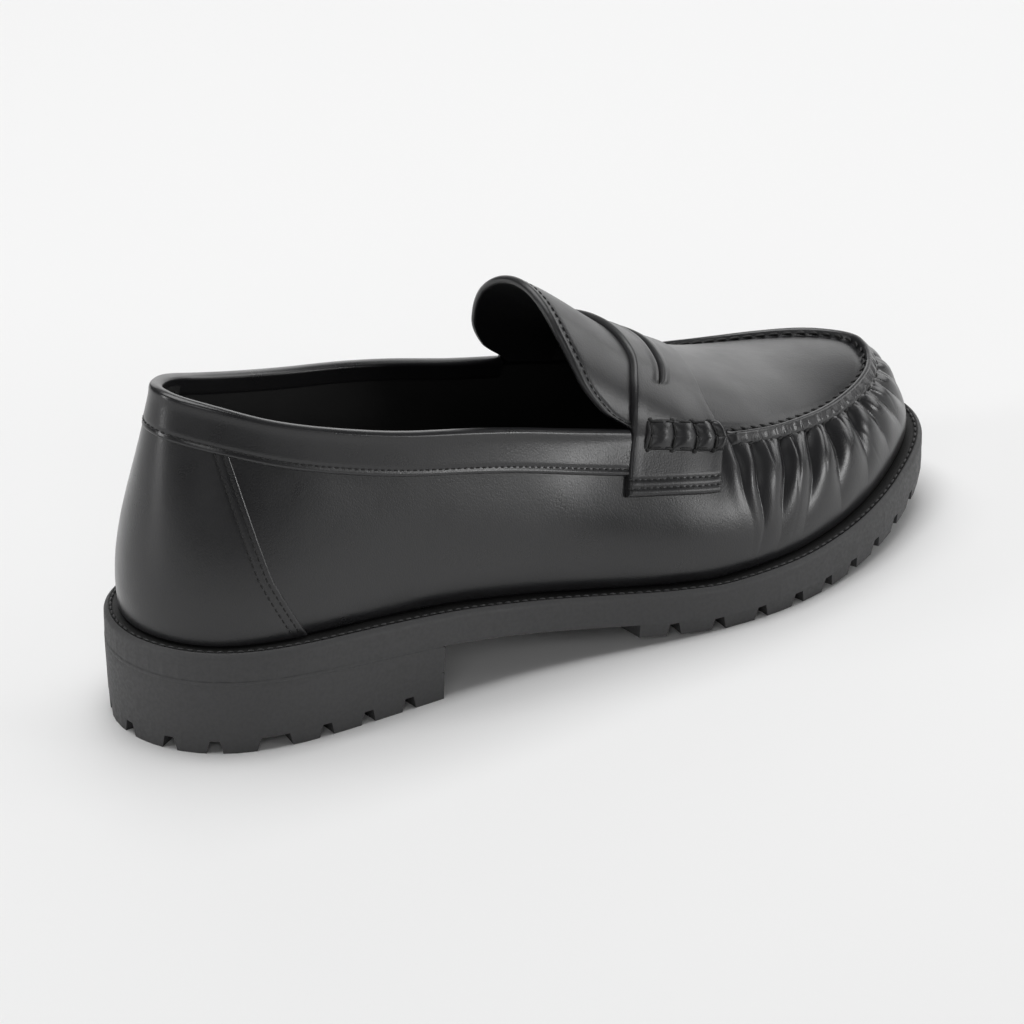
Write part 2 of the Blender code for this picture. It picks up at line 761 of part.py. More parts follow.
def ring_strips(first, upward):
    """Strips straight across a whole ring of stations."""
    faces = []
    for step in range(station_count):
        left = first + step
        left_next = first + step + 1
        right = first + (2 * station_count - step) % (2 * station_count)
        right_next = first + 2 * station_count - step - 1
        corners = [left, left_next, right_next, right]
        face = []
        for corner in corners:
            if corner not in face:
                face.append(corner)
        if not upward:
            face.reverse()
        faces.append(tuple(face))
    return faces


def make_welt():
    loops = [
        outline(ring_runs, -margin_width, 0.0),
        outline(ring_runs, None, 0.0, outsole_lip),
        outline(ring_runs, None, -welt_thickness, outsole_lip),
        outline(ring_runs, -margin_width, -welt_thickness),
    ]
    columns = len(ring_runs)
    points = [point for loop in loops for point in loop]
    faces = []
    for row in range(4):
        a = row * columns
        b = (row + 1) % 4 * columns
        for j in range(columns):
            k = (j + 1) % columns
            faces.append((a + j, b + j, b + k, a + k))
    return add_object("welt", points, faces, welt_finish)


def make_insole():
    """Insole board over the turned-in margin, with the filler that fills the hollow under it."""
    board_inset = upper_wall + part_gap * 1.8
    filler_inset = margin_width + part_gap * 2.5
    board_low = part_gap + upper_wall + part_gap
    loops = [
        outline(ring_runs, -filler_inset, part_gap - welt_thickness - part_gap),
        outline(ring_runs, -filler_inset, board_low),
        outline(ring_runs, -board_inset, board_low),
        outline(ring_runs, -board_inset, board_low + insole_thickness),
    ]
    top = 3 * len(ring_runs)
    points, faces = stacked_loops(loops, ring_strips(0, False), ring_strips(top, True))
    return add_object("insole", points, faces, insole_finish)


def notch_cutter(runs, widths, floor_of, name):
    """Tapered prisms that cross the sole's edge square to it, one for each notch."""
    points = []
    faces = []
    values, foot, _, out = last_ring(runs)
    for i in range(len(runs)):
        edge = foot[i] + out[i] * values[i, 10] * welt_reach
        inward = -out[i]
        side = np.array([-out[i][1], out[i][0], 0.0])
        first = len(points)
        for run_in in (-cutter_reach, lug_length):
            place = edge + inward * run_in
            base = floor_of(place[0])
            grow = widths[i] * (notch_floor_width - notch_top_width) / notch_depth * cutter_overrun
            low = widths[i] * notch_floor_width / 2 + grow / 2
            high = widths[i] * notch_floor_width / 2 - (notch_floor_width - notch_top_width) / 2
            for across, level in ((-low, base - cutter_overrun), (low, base - cutter_overrun),
                                  (high, base + notch_depth), (-high, base + notch_depth)):
                corner = place + side * across
                points.append(np.array([corner[0], corner[1], level]))
        f = first
        faces.append((f, f + 1, f + 2, f + 3))
        faces.append((f + 7, f + 6, f + 5, f + 4))
        for k in range(4):
            m = (k + 1) % 4
            faces.append((f + k, f + 4 + k, f + 4 + m, f + m))
    return add_object(name, points, faces, None, cutter=True)


def channel_cutter(runs, floor_of, name):
    """A channel that follows the sole's edge behind its outer lugs."""
    values, foot, _, out = last_ring(runs)
    points = []
    near = lug_length - channel_overlap
    for i in range(len(runs)):
        edge = foot[i] + out[i] * values[i, 10] * welt_reach
        inner = edge - out[i] * near
        deep = edge - out[i] * (near + channel_width)
        high = notch_depth * 0.92
        for place, level in ((inner, -cutter_overrun), (deep, -cutter_overrun), (deep, high), (inner, high)):
            points.append(np.array([place[0], place[1], floor_of(place[0]) + level]))
    faces = grid_faces(len(runs), 4, close_columns=True)
    faces.append((3, 2, 1, 0))
    last = (len(runs) - 1) * 4
    faces.append((last, last + 1, last + 2, last + 3))
    return add_object(name, points, faces, None, cutter=True)


def bar_cutter(places, half_widths, floor_of, name):
    """Straight channels across the middle of the tread."""
    points = []
    faces = []
    for x, half in zip(places, half_widths):
        first = len(points)
        low = floor_of(x) - cutter_overrun
        high = floor_of(x) + notch_depth * 0.84
        for y in (-half, half):
            for across, level in ((-channel_width / 2, low), (channel_width / 2, low),
                                  (channel_width / 2, high), (-channel_width / 2, high)):
                points.append(np.array([x + across, y, level]))
        f = first
        faces.append((f, f + 1, f + 2, f + 3))
        faces.append((f + 7, f + 6, f + 5, f + 4))
        for k in range(4):
            m = (k + 1) % 4
            faces.append((f + k, f + 4 + k, f + 4 + m, f + m))
    return add_object(name, points, faces, None, cutter=True)


def tread_floor(x):
    """Height of the lugs' faces above the floor at a place along the last."""
    return float(welt_level(x)) - ball_height


def flat_floor(x):
    return 0.0


def edge_lengths(side, first_station, last_station):
    """Runs and lengths along the sole's edge between two stations."""
    stations = np.linspace(first_station, last_station, 400)
    runs = run_at(stations, side)
    edge = outline(runs, None, 0.0)[:, :2]
    lengths = np.concatenate([[0.0], np.cumsum(np.linalg.norm(np.diff(edge, axis=0), axis=1))])
    return runs, lengths


def make_outsole():
    columns = len(ring_runs)
    top = outline(ring_runs, None, -welt_thickness - part_gap)
    plate = outline(ring_runs, None, -welt_thickness - part_gap - outsole_thickness)
    tread = outline(ring_runs, None, -ball_height, lug_draft)
    points = list(top) + list(plate) + list(tread)
    faces = []
    for j in range(columns):
        k = (j + 1) % columns
        faces.append((j, columns + j, columns + k, k))
    faces.extend(ring_strips(0, True))
    plate_strips = ring_strips(columns, False)
    tread_strips = ring_strips(2 * columns, False)
    faces.extend(plate_strips[:tread_start])
    faces.extend(tread_strips[tread_start:])
    for j in range(tread_start, columns - tread_start):
        faces.append((columns + j, 2 * columns + j, 2 * columns + j + 1, columns + j + 1))
    left = tread_start
    right = columns - tread_start
    faces.append((columns + left, columns + right, 2 * columns + right, 2 * columns + left))
    used = sorted({index for face in faces for index in face})
    new_index = {old: new for new, old in enumerate(used)}
    points = [points[old] for old in used]
    faces = [tuple(new_index[index] for index in face) for face in faces]
    made = add_object("outsole", points, faces, outsole_finish)
    start = tread_start / stations_per_row
    notch_runs = []
    for side in (-1, 1):
        runs, lengths = edge_lengths(side, start, float(last_row))
        for place in TREAD_NOTCHES:
            if place * lug_pitch < lengths[-1] - lug_pitch * 0.35:
                notch_runs.append(float(np.interp(place * lug_pitch, lengths, runs)))
    cut_with(made, notch_cutter(np.array(notch_runs), np.ones(len(notch_runs)), tread_floor,
                                "tread_notch_cutter"))
    channel_start = tread_start - 1
    channel_runs = ring_runs[channel_start:columns - channel_start + 1]
    cut_with(made, channel_cutter(channel_runs, tread_floor, "tread_channel_cutter"))
    places = []
    halves = []
    place = last_length * 0.60
    while place < last_length * 0.88:
        places.append(place)
        halves.append(bar_half_width)
        place += lug_pitch * 1.1
    cut_with(made, bar_cutter(places, halves, tread_floor, "tread_bar_cutter"))
    return made


def heel_runs():
    """Stations round the heel from the breast on the outer side to the breast on the inner side."""
    stations = np.linspace(0.0, last_row, 4000)
    lateral = outline(run_at(stations, -1), None, 0.0)[:, 0]
    medial = outline(run_at(stations, 1), None, 0.0)[:, 0]
    lateral_end = float(np.interp(heel_breast_place, lateral[200:], stations[200:]))
    medial_end = float(np.interp(heel_breast_place, medial[200:], stations[200:]))
    steps = int(min(lateral_end, medial_end) * stations_per_row - 0.2)
    runs = [run_at(lateral_end, -1)]
    runs += [run_at(step / stations_per_row, -1) for step in range(steps, -1, -1)]
    runs += [run_at(step / stations_per_row, 1) for step in range(1, steps + 1)]
    runs.append(run_at(medial_end, 1))
    return np.array([float(run) for run in runs]), (lateral_end, medial_end)


def heel_strips(first, count, upward):
    """Strips straight across the heel's outline, from the breast to the back."""
    faces = []
    half = count // 2
    for step in range(half):
        a = first + step
        b = first + step + 1
        c = first + count - 2 - step
        d = first + count - 1 - step
        face = []
        for corner in (a, b, c, d):
            if corner not in face:
                face.append(corner)
        if not upward:
            face.reverse()
        if len(face) > 2:
            faces.append(tuple(face))
    return faces


def heel_solid(name, levels, finish):
    runs, _ = heel_runs()
    loops = []
    for kind, level, draft in levels:
        loop = outline(runs, None, 0.0, draft)
        if kind == "under the sole":
            loop[:, 2] = welt_level(loop[:, 0]) + level
        else:
            loop[:, 2] = level
        loops.append(loop)
    count = len(runs)
    low = heel_strips(0, count, False)
    high = heel_strips((len(loops) - 1) * count, count, True)
    points, faces = stacked_loops(loops, low, high)
    faces = [tuple(reversed(face)) for face in faces]
    return add_object(name, points, faces, finish)


def make_heel_block():
    under = -welt_thickness - part_gap - outsole_thickness - part_gap
    levels = (
        ("level", top_piece_thickness + part_gap, heel_draft),
        ("under the sole", under, 0.0),
    )
    return heel_solid("heel_block", levels, heel_finish)


def make_top_piece():
    levels = (
        ("level", 0.0, 2 * heel_draft),
        ("level", top_piece_thickness, heel_draft),
    )
    made = heel_solid("heel_top_piece", levels, top_piece_finish)
    _, ends = heel_runs()
    notch_runs = []
    widths = []
    for side, end in ((-1, ends[0]), (1, ends[1])):
        runs, lengths = edge_lengths(side, 0.0, end)
        for place, width in HEEL_NOTCHES:
            length = lengths[-1] - place * lug_pitch
            notch_runs.append(float(np.interp(length, lengths, runs)))
            widths.append(width)
    notch_runs.append(float(run_at(0.0, -1)))
    widths.append(1.0)
    cut_with(made, notch_cutter(np.array(notch_runs), np.array(widths), flat_floor, "heel_notch_cutter"))
    stations = np.arange(0, int(min(ends) * stations_per_row) + 2) / stations_per_row
    channel = [float(run_at(s, 1)) for s in stations[::-1]] + [float(run_at(s, -1)) for s in stations[1:]]
    cut_with(made, channel_cutter(np.array(channel), flat_floor, "heel_channel_cutter"))
    return made


make_upper()
make_tongue()
make_strap()
make_collar_band()
make_counter()
make_apron_seam()
make_welt()
make_insole()
make_outsole()
make_heel_block()
make_top_piece()
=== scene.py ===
# %% [markdown]
# A black penny loafer on a chunky lug sole, made piece by piece over one last.
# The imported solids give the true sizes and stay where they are. This lesson lays the finished leather,
# thread and rubber over them: each piece is drawn from the same three lines of the shoe, the foot line
# where the leather meets the welt, the top line of the collar and apron seam, and the crown between.

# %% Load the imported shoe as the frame
import math

import bpy
import numpy as np
from mathutils import Matrix, Vector


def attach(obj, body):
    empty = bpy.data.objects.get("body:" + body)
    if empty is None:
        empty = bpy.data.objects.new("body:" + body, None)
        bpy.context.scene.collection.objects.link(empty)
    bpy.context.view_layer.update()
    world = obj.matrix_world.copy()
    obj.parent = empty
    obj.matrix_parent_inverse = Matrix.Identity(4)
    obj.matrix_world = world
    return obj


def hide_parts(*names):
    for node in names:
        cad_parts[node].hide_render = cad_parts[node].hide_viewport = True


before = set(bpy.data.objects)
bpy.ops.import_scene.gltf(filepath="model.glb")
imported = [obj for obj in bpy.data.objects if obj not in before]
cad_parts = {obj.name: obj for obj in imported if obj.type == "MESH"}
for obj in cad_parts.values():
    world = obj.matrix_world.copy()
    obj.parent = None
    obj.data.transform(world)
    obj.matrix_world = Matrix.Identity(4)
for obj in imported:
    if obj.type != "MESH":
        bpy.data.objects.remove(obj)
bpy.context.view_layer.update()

# %% [markdown]
# A shoe is shaped over a last, a wooden or plastic foot. One row of this table is one place along it, from
# the heel to the toe: how far along, how wide to each side, how high the leather rises there, and how it
# bulges. A short table with a smooth curve through it keeps both sides of the shoe flowing.

# %% Sizes of the last and its table
last_length = 0.286
ball_half_width = 0.048
ball_height = 0.0148
heel_rise = 0.0189
toe_spring = 0.0094
back_height = 0.0745
toe_height = 0.0288
crown_height = 0.031
welt_reach = 0.0055
welt_thickness = 0.003
upper_wall = 0.0022
insole_thickness = 0.0025
part_gap = 0.0003

COLUMNS = (
    "along", "lateral", "medial", "top_along", "top_lateral", "top_medial",
    "of_back", "of_toe", "belly", "brow", "drop", "crown", "arch", "reach",
)
LAST_ROWS = (
    ("heel tip", 0.003, 0.00, 0.00, 0.038, 0.00, 0.00, 1.00, 0.00, 0.05, 0.06, 0.30, 0.00, 1.2, 0.95),
    ("heel round", 0.013, 0.26, 0.26, 0.046, 0.14, 0.14, 0.99, 0.00, 0.05, 0.06, 0.30, 0.00, 1.2, 0.97),
    ("heel corner", 0.042, 0.48, 0.48, 0.075, 0.30, 0.30, 0.955, 0.00, 0.06, 0.06, 0.30, 0.00, 1.2, 1.0),
    ("heel side", 0.096, 0.62, 0.62, 0.121, 0.43, 0.43, 0.890, 0.00, 0.07, 0.05, 0.30, 0.00, 1.2, 1.1),
    ("heel front", 0.180, 0.675, 0.66, 0.197, 0.535, 0.535, 0.81, 0.00, 0.09, 0.04, 0.30, 0.10, 1.2, 1.15),
    ("heel breast", 0.280, 0.69, 0.61, 0.285, 0.61, 0.61, 0.75, 0.00, 0.12, 0.04, 0.30, 0.80, 1.2, 1.15),
    ("waist", 0.390, 0.73, 0.58, 0.388, 0.645, 0.64, 0.715, 0.00, 0.15, 0.05, 0.30, 1.17, 1.2, 1.05),
    ("instep", 0.500, 0.84, 0.67, 0.493, 0.67, 0.655, 0.665, 0.00, 0.16, 0.08, 0.30, 1.27, 1.2, 1.0),
    ("strap front", 0.600, 0.965, 0.83, 0.590, 0.73, 0.69, 0.00, 1.60, 0.16, 0.12, 0.28, 0.83, 1.3, 1.0),
    ("ball", 0.700, 1.010, 0.96, 0.688, 0.76, 0.73, 0.00, 1.38, 0.15, 0.16, 0.25, 0.51, 1.5, 1.0),
    ("vamp", 0.790, 0.920, 0.97, 0.775, 0.70, 0.715, 0.00, 1.21, 0.14, 0.19, 0.22, 0.30, 1.8, 1.0),
    ("toe side", 0.870, 0.745, 0.86, 0.853, 0.56, 0.61, 0.00, 1.08, 0.13, 0.21, 0.20, 0.16, 2.0, 1.0),
    ("toe corner", 0.935, 0.515, 0.65, 0.913, 0.37, 0.415, 0.00, 1.02, 0.12, 0.22, 0.18, 0.08, 2.0, 1.0),
    ("toe round", 0.982, 0.265, 0.37, 0.941, 0.18, 0.22, 0.00, 1.00, 0.12, 0.23, 0.18, 0.03, 2.0, 1.0),
    ("toe tip", 1.000, 0.05, 0.05, 0.952, 0.02, 0.02, 0.00, 1.00, 0.12, 0.23, 0.18, 0.00, 2.0, 1.0),
)

# Height of the welt's top above the floor: share of the length, share of heel rise, share of toe spring
WELT_PROFILE = (
    (-0.10, 1.02, 0.00),
    (0.00, 1.00, 0.00),
    (0.10, 0.95, 0.00),
    (0.20, 0.86, 0.00),
    (0.30, 0.715, 0.00),
    (0.40, 0.49, 0.00),
    (0.50, 0.25, 0.00),
    (0.58, 0.08, 0.00),
    (0.64, 0.00, 0.00),
    (0.73, 0.00, 0.00),
    (0.80, 0.00, 0.10),
    (0.88, 0.00, 0.38),
    (0.94, 0.00, 0.66),
    (1.00, 0.00, 1.00),
    (1.06, 0.00, 1.36),
)
print(len(LAST_ROWS), "rows along the last,", len(WELT_PROFILE), "rows along the welt")

# %% [markdown]
# The rows are joined by curves: a smooth reading of a table where a level stretch stays level, and a closed
# spline round the foot line that carries all the other values with it.

# %% Curves through the tables


def table_value(rows, column, share):
    """A smooth value from a table; a level stretch of the table stays exactly level."""
    share = np.asarray(share, float)
    places = np.array([row[0] for row in rows])
    values = np.array([row[column] for row in rows])
    steps = np.diff(places)
    rates = np.diff(values) / steps
    slopes = np.empty_like(values)
    slopes[0] = rates[0]
    slopes[-1] = rates[-1]
    for i in range(1, len(rows) - 1):
        if rates[i - 1] * rates[i] <= 0.0:
            slopes[i] = 0.0
        else:
            slopes[i] = 2.0 * rates[i - 1] * rates[i] / (rates[i - 1] + rates[i])
    i = np.clip(np.searchsorted(places, share, side="right") - 1, 0, len(rows) - 2)
    t = (share - places[i]) / steps[i]
    start = (2 * t**3 - 3 * t**2 + 1) * values[i] + (t**3 - 2 * t**2 + t) * steps[i] * slopes[i]
    end = (3 * t**2 - 2 * t**3) * values[i + 1] + (t**3 - t**2) * steps[i] * slopes[i + 1]
    return start + end


def welt_level(x):
    """Height of the welt's top at a place along the shoe."""
    share = np.asarray(x, float) / last_length
    rise = heel_rise * table_value(WELT_PROFILE, 1, share)
    spring = toe_spring * table_value(WELT_PROFILE, 2, share)
    return ball_height + rise + spring


def last_row_values(row, side):
    """One row of the table in metres, for the outer side (-1) or the inner side (1)."""
    value = dict(zip(COLUMNS, row[1:]))
    y = value["medial"] * ball_half_width
    top_y = value["top_medial"] * ball_half_width
    if side < 0:
        y = -value["lateral"] * ball_half_width
        top_y = -value["top_lateral"] * ball_half_width
    rise = value["of_back"] * back_height + value["of_toe"] * toe_height
    place = [value["along"] * last_length, y, value["top_along"] * last_length, top_y, rise]
    return place + [value[name] for name in COLUMNS[8:]]


def closed_spline(points):
    """A smooth closed curve through rows of values, read by the length run along it."""
    count = len(points)
    gaps = np.linalg.norm(np.roll(points[:, :2], -1, 0) - points[:, :2], axis=1)
    knots = np.concatenate([[0.0], np.cumsum(gaps)])
    system = np.zeros((count, count))
    target = np.zeros_like(points)
    for i in range(count):
        before = gaps[i - 1]
        after = gaps[i]
        system[i, i - 1] += before
        system[i, i] += 2 * (before + after)
        system[i, (i + 1) % count] += after
        change = (points[(i + 1) % count] - points[i]) / after - (points[i] - points[i - 1]) / before
        target[i] = 6 * change
    bends = np.linalg.solve(system, target)

    def curve(run):
        run = np.mod(run, knots[-1])
        i = np.clip(np.searchsorted(knots, run, side="right") - 1, 0, count - 1)
        j = (i + 1) % count
        gap = gaps[i][:, None]
        ahead = (knots[i + 1] - run)[:, None]
        behind = (run - knots[i])[:, None]
        bent = (bends[i] * ahead**3 + bends[j] * behind**3) / (6 * gap)
        near = (points[i] / gap - bends[i] * gap / 6) * ahead
        far = (points[j] / gap - bends[j] * gap / 6) * behind
        return bent + near + far

    return curve, knots


lateral_rows = [last_row_values(row, -1) for row in LAST_ROWS]
lateral_rows[-1] = last_row_values(LAST_ROWS[-1], 1)
medial_rows = [last_row_values(row, 1) for row in reversed(LAST_ROWS[1:-1])]
last_curve, last_knots = closed_spline(np.array(lateral_rows + medial_rows))
last_row = len(LAST_ROWS) - 1
print("round the foot line:", round(float(last_knots[-1]) * 1000), "mm")

# %% [markdown]
# Two surfaces carry everything else. The wall rises from the foot line to the top line in one bend that
# bellies out and then leans in. The crown spans the top line from side to side, flat over the toe and
# high over the instep. Every overlay is one of these surfaces lifted by the thickness of its leather.

# %% The wall and the crown of the shoe


def run_at(station, side):
    """Place on the closed curve of a station, counted in rows from the heel, on the outer or inner side."""
    station = np.asarray(station, float)
    row = np.clip(np.floor(station).astype(int), 0, last_row - 1)
    part = station - row
    lateral = last_knots[row] + (last_knots[row + 1] - last_knots[row]) * part
    start = last_knots[2 * last_row - row]
    end = last_knots[2 * last_row - row - 1]
    medial = start + (end - start) * part
    return np.where(np.asarray(side) < 0, lateral, medial)


def last_ring(run):
    """The last's values, foot line, top line and outward direction at places round the shoe."""
    run = np.atleast_1d(np.asarray(run, float))
    values = last_curve(run)
    step = 0.0005
    along = last_curve(run + step)[:, :2] - last_curve(run - step)[:, :2]
    along /= np.linalg.norm(along, axis=1)[:, None]
    out = np.stack([along[:, 1], -along[:, 0], np.zeros(len(run))], 1)
    foot = np.stack([values[:, 0], values[:, 1], welt_level(values[:, 0]) + part_gap], 1)
    top = np.stack([values[:, 2], values[:, 3], welt_level(values[:, 2]) + values[:, 4]], 1)
    return values, foot, top, out


def outline(runs, offset, lift, lip=0.0):
    """Points beside the foot line, in the last's own place; offset None is the welt's reach."""
    values, foot, _, out = last_ring(runs)
    reach = values[:, 10:11] * welt_reach - lip if offset is None else offset
    points = foot + out * reach
    points[:, 2] = welt_level(points[:, 0]) + lift
    return points


stations_per_row = 3
whole_ring = np.arange(2 * last_row * stations_per_row)
ring_stations = np.minimum(whole_ring, 2 * last_row * stations_per_row - whole_ring) / stations_per_row
ring_sides = np.where(whole_ring <= last_row * stations_per_row, -1, 1)
sole_edge = outline(run_at(ring_stations, ring_sides), None, 0.0)
to_frame = np.array([
    -(sole_edge[:, 0].min() + sole_edge[:, 0].max()) / 2,
    -(sole_edge[:, 1].min() + sole_edge[:, 1].max()) / 2,
    0.0,
])


def unit(vectors):
    length = np.linalg.norm(vectors, axis=-1, keepdims=True)
    return vectors / np.maximum(length, 1e-12)


def wall_point(run, share):
    """Points on the wall, from the foot line at share 0 to the top line at share 1."""
    values, foot, top, out = last_ring(run)
    share = np.broadcast_to(np.asarray(share, float), (len(foot),))[:, None]
    height = (top[:, 2] - foot[:, 2])[:, None]
    up = np.array([0.0, 0.0, 1.0])
    low = foot + out * values[:, 5:6] * height + up * 0.30 * height
    high = top + out * values[:, 6:7] * height - up * values[:, 7:8] * height
    rest = 1 - share
    return foot * rest**3 + 3 * low * share * rest**2 + 3 * high * share**2 * rest + top * share**3


def wall(run, share, lift=0.0):
    """Points and outward directions on the wall, in the shoe's frame."""
    run = np.asarray(run, float)
    shape = run.shape
    run = run.ravel()
    share = np.broadcast_to(np.asarray(share, float), shape).ravel()
    along = wall_point(run + 0.0004, share) - wall_point(run - 0.0004, share)
    above = wall_point(run, np.minimum(share + 0.01, 1.0)) - wall_point(run, np.maximum(share - 0.01, 0.0))
    out = unit(np.cross(along, above)).reshape(shape + (3,))
    point = wall_point(run, share).reshape(shape + (3,)) + to_frame
    return point + out * np.asarray(lift)[..., None], out


def crown_point(station, turn):
    """Points on the crown, which spans the top line from side to side."""
    turn = np.radians(np.clip(turn, 0.0, 180.0))[:, None]
    outer_values, _, outer, _ = last_ring(run_at(station, -1))
    _, _, inner, _ = last_ring(run_at(station, 1))
    lift = crown_height * outer_values[:, 8:9]
    arch = np.sin(turn) ** outer_values[:, 9:10]
    middle = (outer + inner) / 2
    half = (inner - outer) / 2
    return middle - half * np.cos(turn) + np.array([0.0, 0.0, 1.0]) * lift * arch


def crown(station, turn, lift=0.0):
    """Points and outward directions on the crown; turn runs in degrees from the outer side to the inner."""
    station = np.asarray(station, float)
    shape = station.shape
    station = station.ravel()
    turn = np.clip(np.broadcast_to(np.asarray(turn, float), shape).ravel(), 0.0, 180.0)
    ahead = np.minimum(station + 0.03, last_row)
    along = crown_point(ahead, turn) - crown_point(station - 0.03, turn)
    turn_on = np.minimum(turn + 1.5, 180.0)
    turn_back = np.maximum(turn - 1.5, 0.0)
    across = crown_point(station, turn_on) - crown_point(station, turn_back)
    out = unit(np.cross(along, across)).reshape(shape + (3,))
    point = crown_point(station, turn).reshape(shape + (3,)) + to_frame
    return point + out * np.asarray(lift)[..., None], out


print("frame shift in mm:", (to_frame * 1000).round(1))

# %% [markdown]
# Leather edges are soft: a cut and skived edge rolls down to what lies below. Most overlays here are
# height fields, so this roll is a quarter circle over the last millimetre or so. Stitches are short thick
# threads that dive into the leather at both ends, so each is a small capsule whose ends dip.

# %% Helpers for sheets, edges and stitches
finished_pieces = []


def add_piece(name, points, faces, material, replaces=()):
    """Adds one finished piece that rides with the shoe."""
    mesh = bpy.data.meshes.new(name)
    mesh.from_pydata(np.asarray(points, float).tolist(), [], faces)
    mesh.validate()
    mesh.update()
    mesh.shade_smooth()
    mesh.materials.append(material)
    piece = bpy.data.objects.new(name, mesh)
    bpy.context.scene.collection.objects.link(piece)
    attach(piece, "root")
    if replaces:
        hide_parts(*replaces)
    finished_pieces.append(piece)
    print(name, "faces:", len(faces))
    return piece


def grid_faces(rows, columns, around=False, first=0, flip=False):
    """Quads of a grid stored row by row; around joins the last column to the first."""
    i = np.arange(rows - 1)[:, None]
    j = np.arange(columns if around else columns - 1)[None, :]
    k = (j + 1) % columns
    a = first + i * columns
    b = first + (i + 1) * columns
    quads = np.stack([a + j, a + k, b + k, b + j], -1).reshape(-1, 4)
    if flip:
        quads = quads[:, ::-1]
    return quads.tolist()


def add_sheet(name, grid, material, replaces=(), around=False, flip=False):
    """A skin from a grid of points."""
    rows, columns = grid.shape[:2]
    faces = grid_faces(rows, columns, around, 0, flip)
    return add_piece(name, grid.reshape(-1, 3), faces, material, replaces)


def soft_step(value, start, end):
    """From 0 at start to 1 at end, level at both."""
    t = np.clip((np.asarray(value, float) - start) / (end - start), 0.0, 1.0)
    return t * t * (3 - 2 * t)


def edge_roll(distance, thickness, radius):
    """Height of a sheet near its cut edge: a quarter circle up from the leather below."""
    t = np.clip(np.asarray(distance, float) / radius, 0.0, 1.0)
    return thickness * np.sqrt(np.maximum(0.0, 1.0 - (1.0 - t) ** 2))


def groove(distance, depth, width):
    """A shallow channel for a row of stitches."""
    return -depth * np.exp(-((np.asarray(distance, float) / width) ** 2))


def run_lengths(points):
    """Length run from the first row of points to each row."""
    gaps = np.linalg.norm(np.diff(points, axis=0), axis=-1)
    return np.concatenate([np.zeros((1,) + gaps.shape[1:]), np.cumsum(gaps, axis=0)])


def sample_along(values, lengths, wanted):
    """Values read at wanted lengths along a line."""
    return np.stack([np.interp(wanted, lengths, values[:, i]) for i in range(values.shape[1])], 1)


def smooth_along(values, times):
    """Values evened out along a line, with both ends kept."""
    for _ in range(times):
        inner = values[:-2] * 0.25 + values[1:-1] * 0.5 + values[2:] * 0.25
        values = np.concatenate([values[:1], inner, values[-1:]])
    return values


STITCH_SIDES = 7
# place along the thread, share of its radius, dip below the leather in radii
STITCH_RINGS = ((-0.50, 0.25, -0.9), (-0.40, 0.75, -0.25), (-0.16, 1.0, 0.0),
                (0.16, 1.0, 0.0), (0.40, 0.75, -0.25), (0.50, 0.25, -0.9))


def stitch_solids(places, tangents, normals, length, radius):
    """Points and faces of short threads, dipping at both ends."""
    points = []
    faces = []
    sides = np.arange(STITCH_SIDES) / STITCH_SIDES * 2 * math.pi
    for place, tangent, normal in zip(places, tangents, normals):
        tangent = unit(tangent)
        normal = unit(normal - tangent * float(np.dot(normal, tangent)))
        across = np.cross(tangent, normal)
        first = len(points)
        for where, size, dip in STITCH_RINGS:
            middle = place + tangent * where * length + normal * radius * (0.35 + dip)
            for angle in sides:
                points.append(middle + (across * math.cos(angle) + normal * math.sin(angle)) * radius * size)
        faces.extend(grid_faces(len(STITCH_RINGS), STITCH_SIDES, True, first))
        faces.append(tuple(range(first + STITCH_SIDES - 1, first - 1, -1)))
        last = first + (len(STITCH_RINGS) - 1) * STITCH_SIDES
        faces.append(tuple(range(last, last + STITCH_SIDES)))
    return points, faces


def stitch_row(name, path, normals, pitch, length, radius, thread=None, slant=0.0):
    """A row of stitches along a path on a surface, one piece."""
    lengths = run_lengths(path)
    total = lengths[-1]
    count = max(2, int(round(total / pitch)))
    wanted = (np.arange(count) + 0.5) * total / count
    places = sample_along(path, lengths, wanted)
    ahead = sample_along(path, lengths, np.minimum(wanted + 0.0004, total))
    behind = sample_along(path, lengths, np.maximum(wanted - 0.0004, 0.0))
    tangents = unit(ahead - behind)
    ups = unit(sample_along(normals, lengths, wanted))
    if slant:
        across = np.cross(ups, tangents)
        tangents = unit(tangents * math.cos(slant) + across * math.sin(slant))
    points, faces = stitch_solids(places, tangents, ups, length, radius)
    return add_piece(name, points, faces, thread or thread_and_hole_shade)


# %% [markdown]
# The leather is a smooth black calf with a soft polish. Its shine is broad, not mirror-like, so the
# roughness sits near a third, a thin coat sharpens the brightest parts a little, and fine grain and pores
# break the light up close. Thread is waxed and duller; the lining is matte. The black thread is darker
# than the calf, partly its own black and partly painted shade of the stitch holes it sits in.

# %% Leather, lining and thread


def new_finish(name, colour, roughness):
    """A material with one plain shader, which the finishes below build on."""
    finish = bpy.data.materials.new(name)
    finish.use_nodes = True
    shader = finish.node_tree.nodes["Principled BSDF"]
    shader.inputs["Base Color"].default_value = (*colour, 1.0)
    shader.inputs["Roughness"].default_value = roughness
    return finish, finish.node_tree, shader


def add_noise(tree, scale, detail, kind="noise"):
    """A noise over the shoe's own coordinates, in features to the metre."""
    place = tree.nodes.new("ShaderNodeTexCoord")
    if kind == "cells":
        noise = tree.nodes.new("ShaderNodeTexVoronoi")
        noise.inputs["Scale"].default_value = scale
    else:
        noise = tree.nodes.new("ShaderNodeTexNoise")
        noise.inputs["Scale"].default_value = scale
        noise.inputs["Detail"].default_value = detail
    tree.links.new(place.outputs["Object"], noise.inputs["Vector"])
    return noise


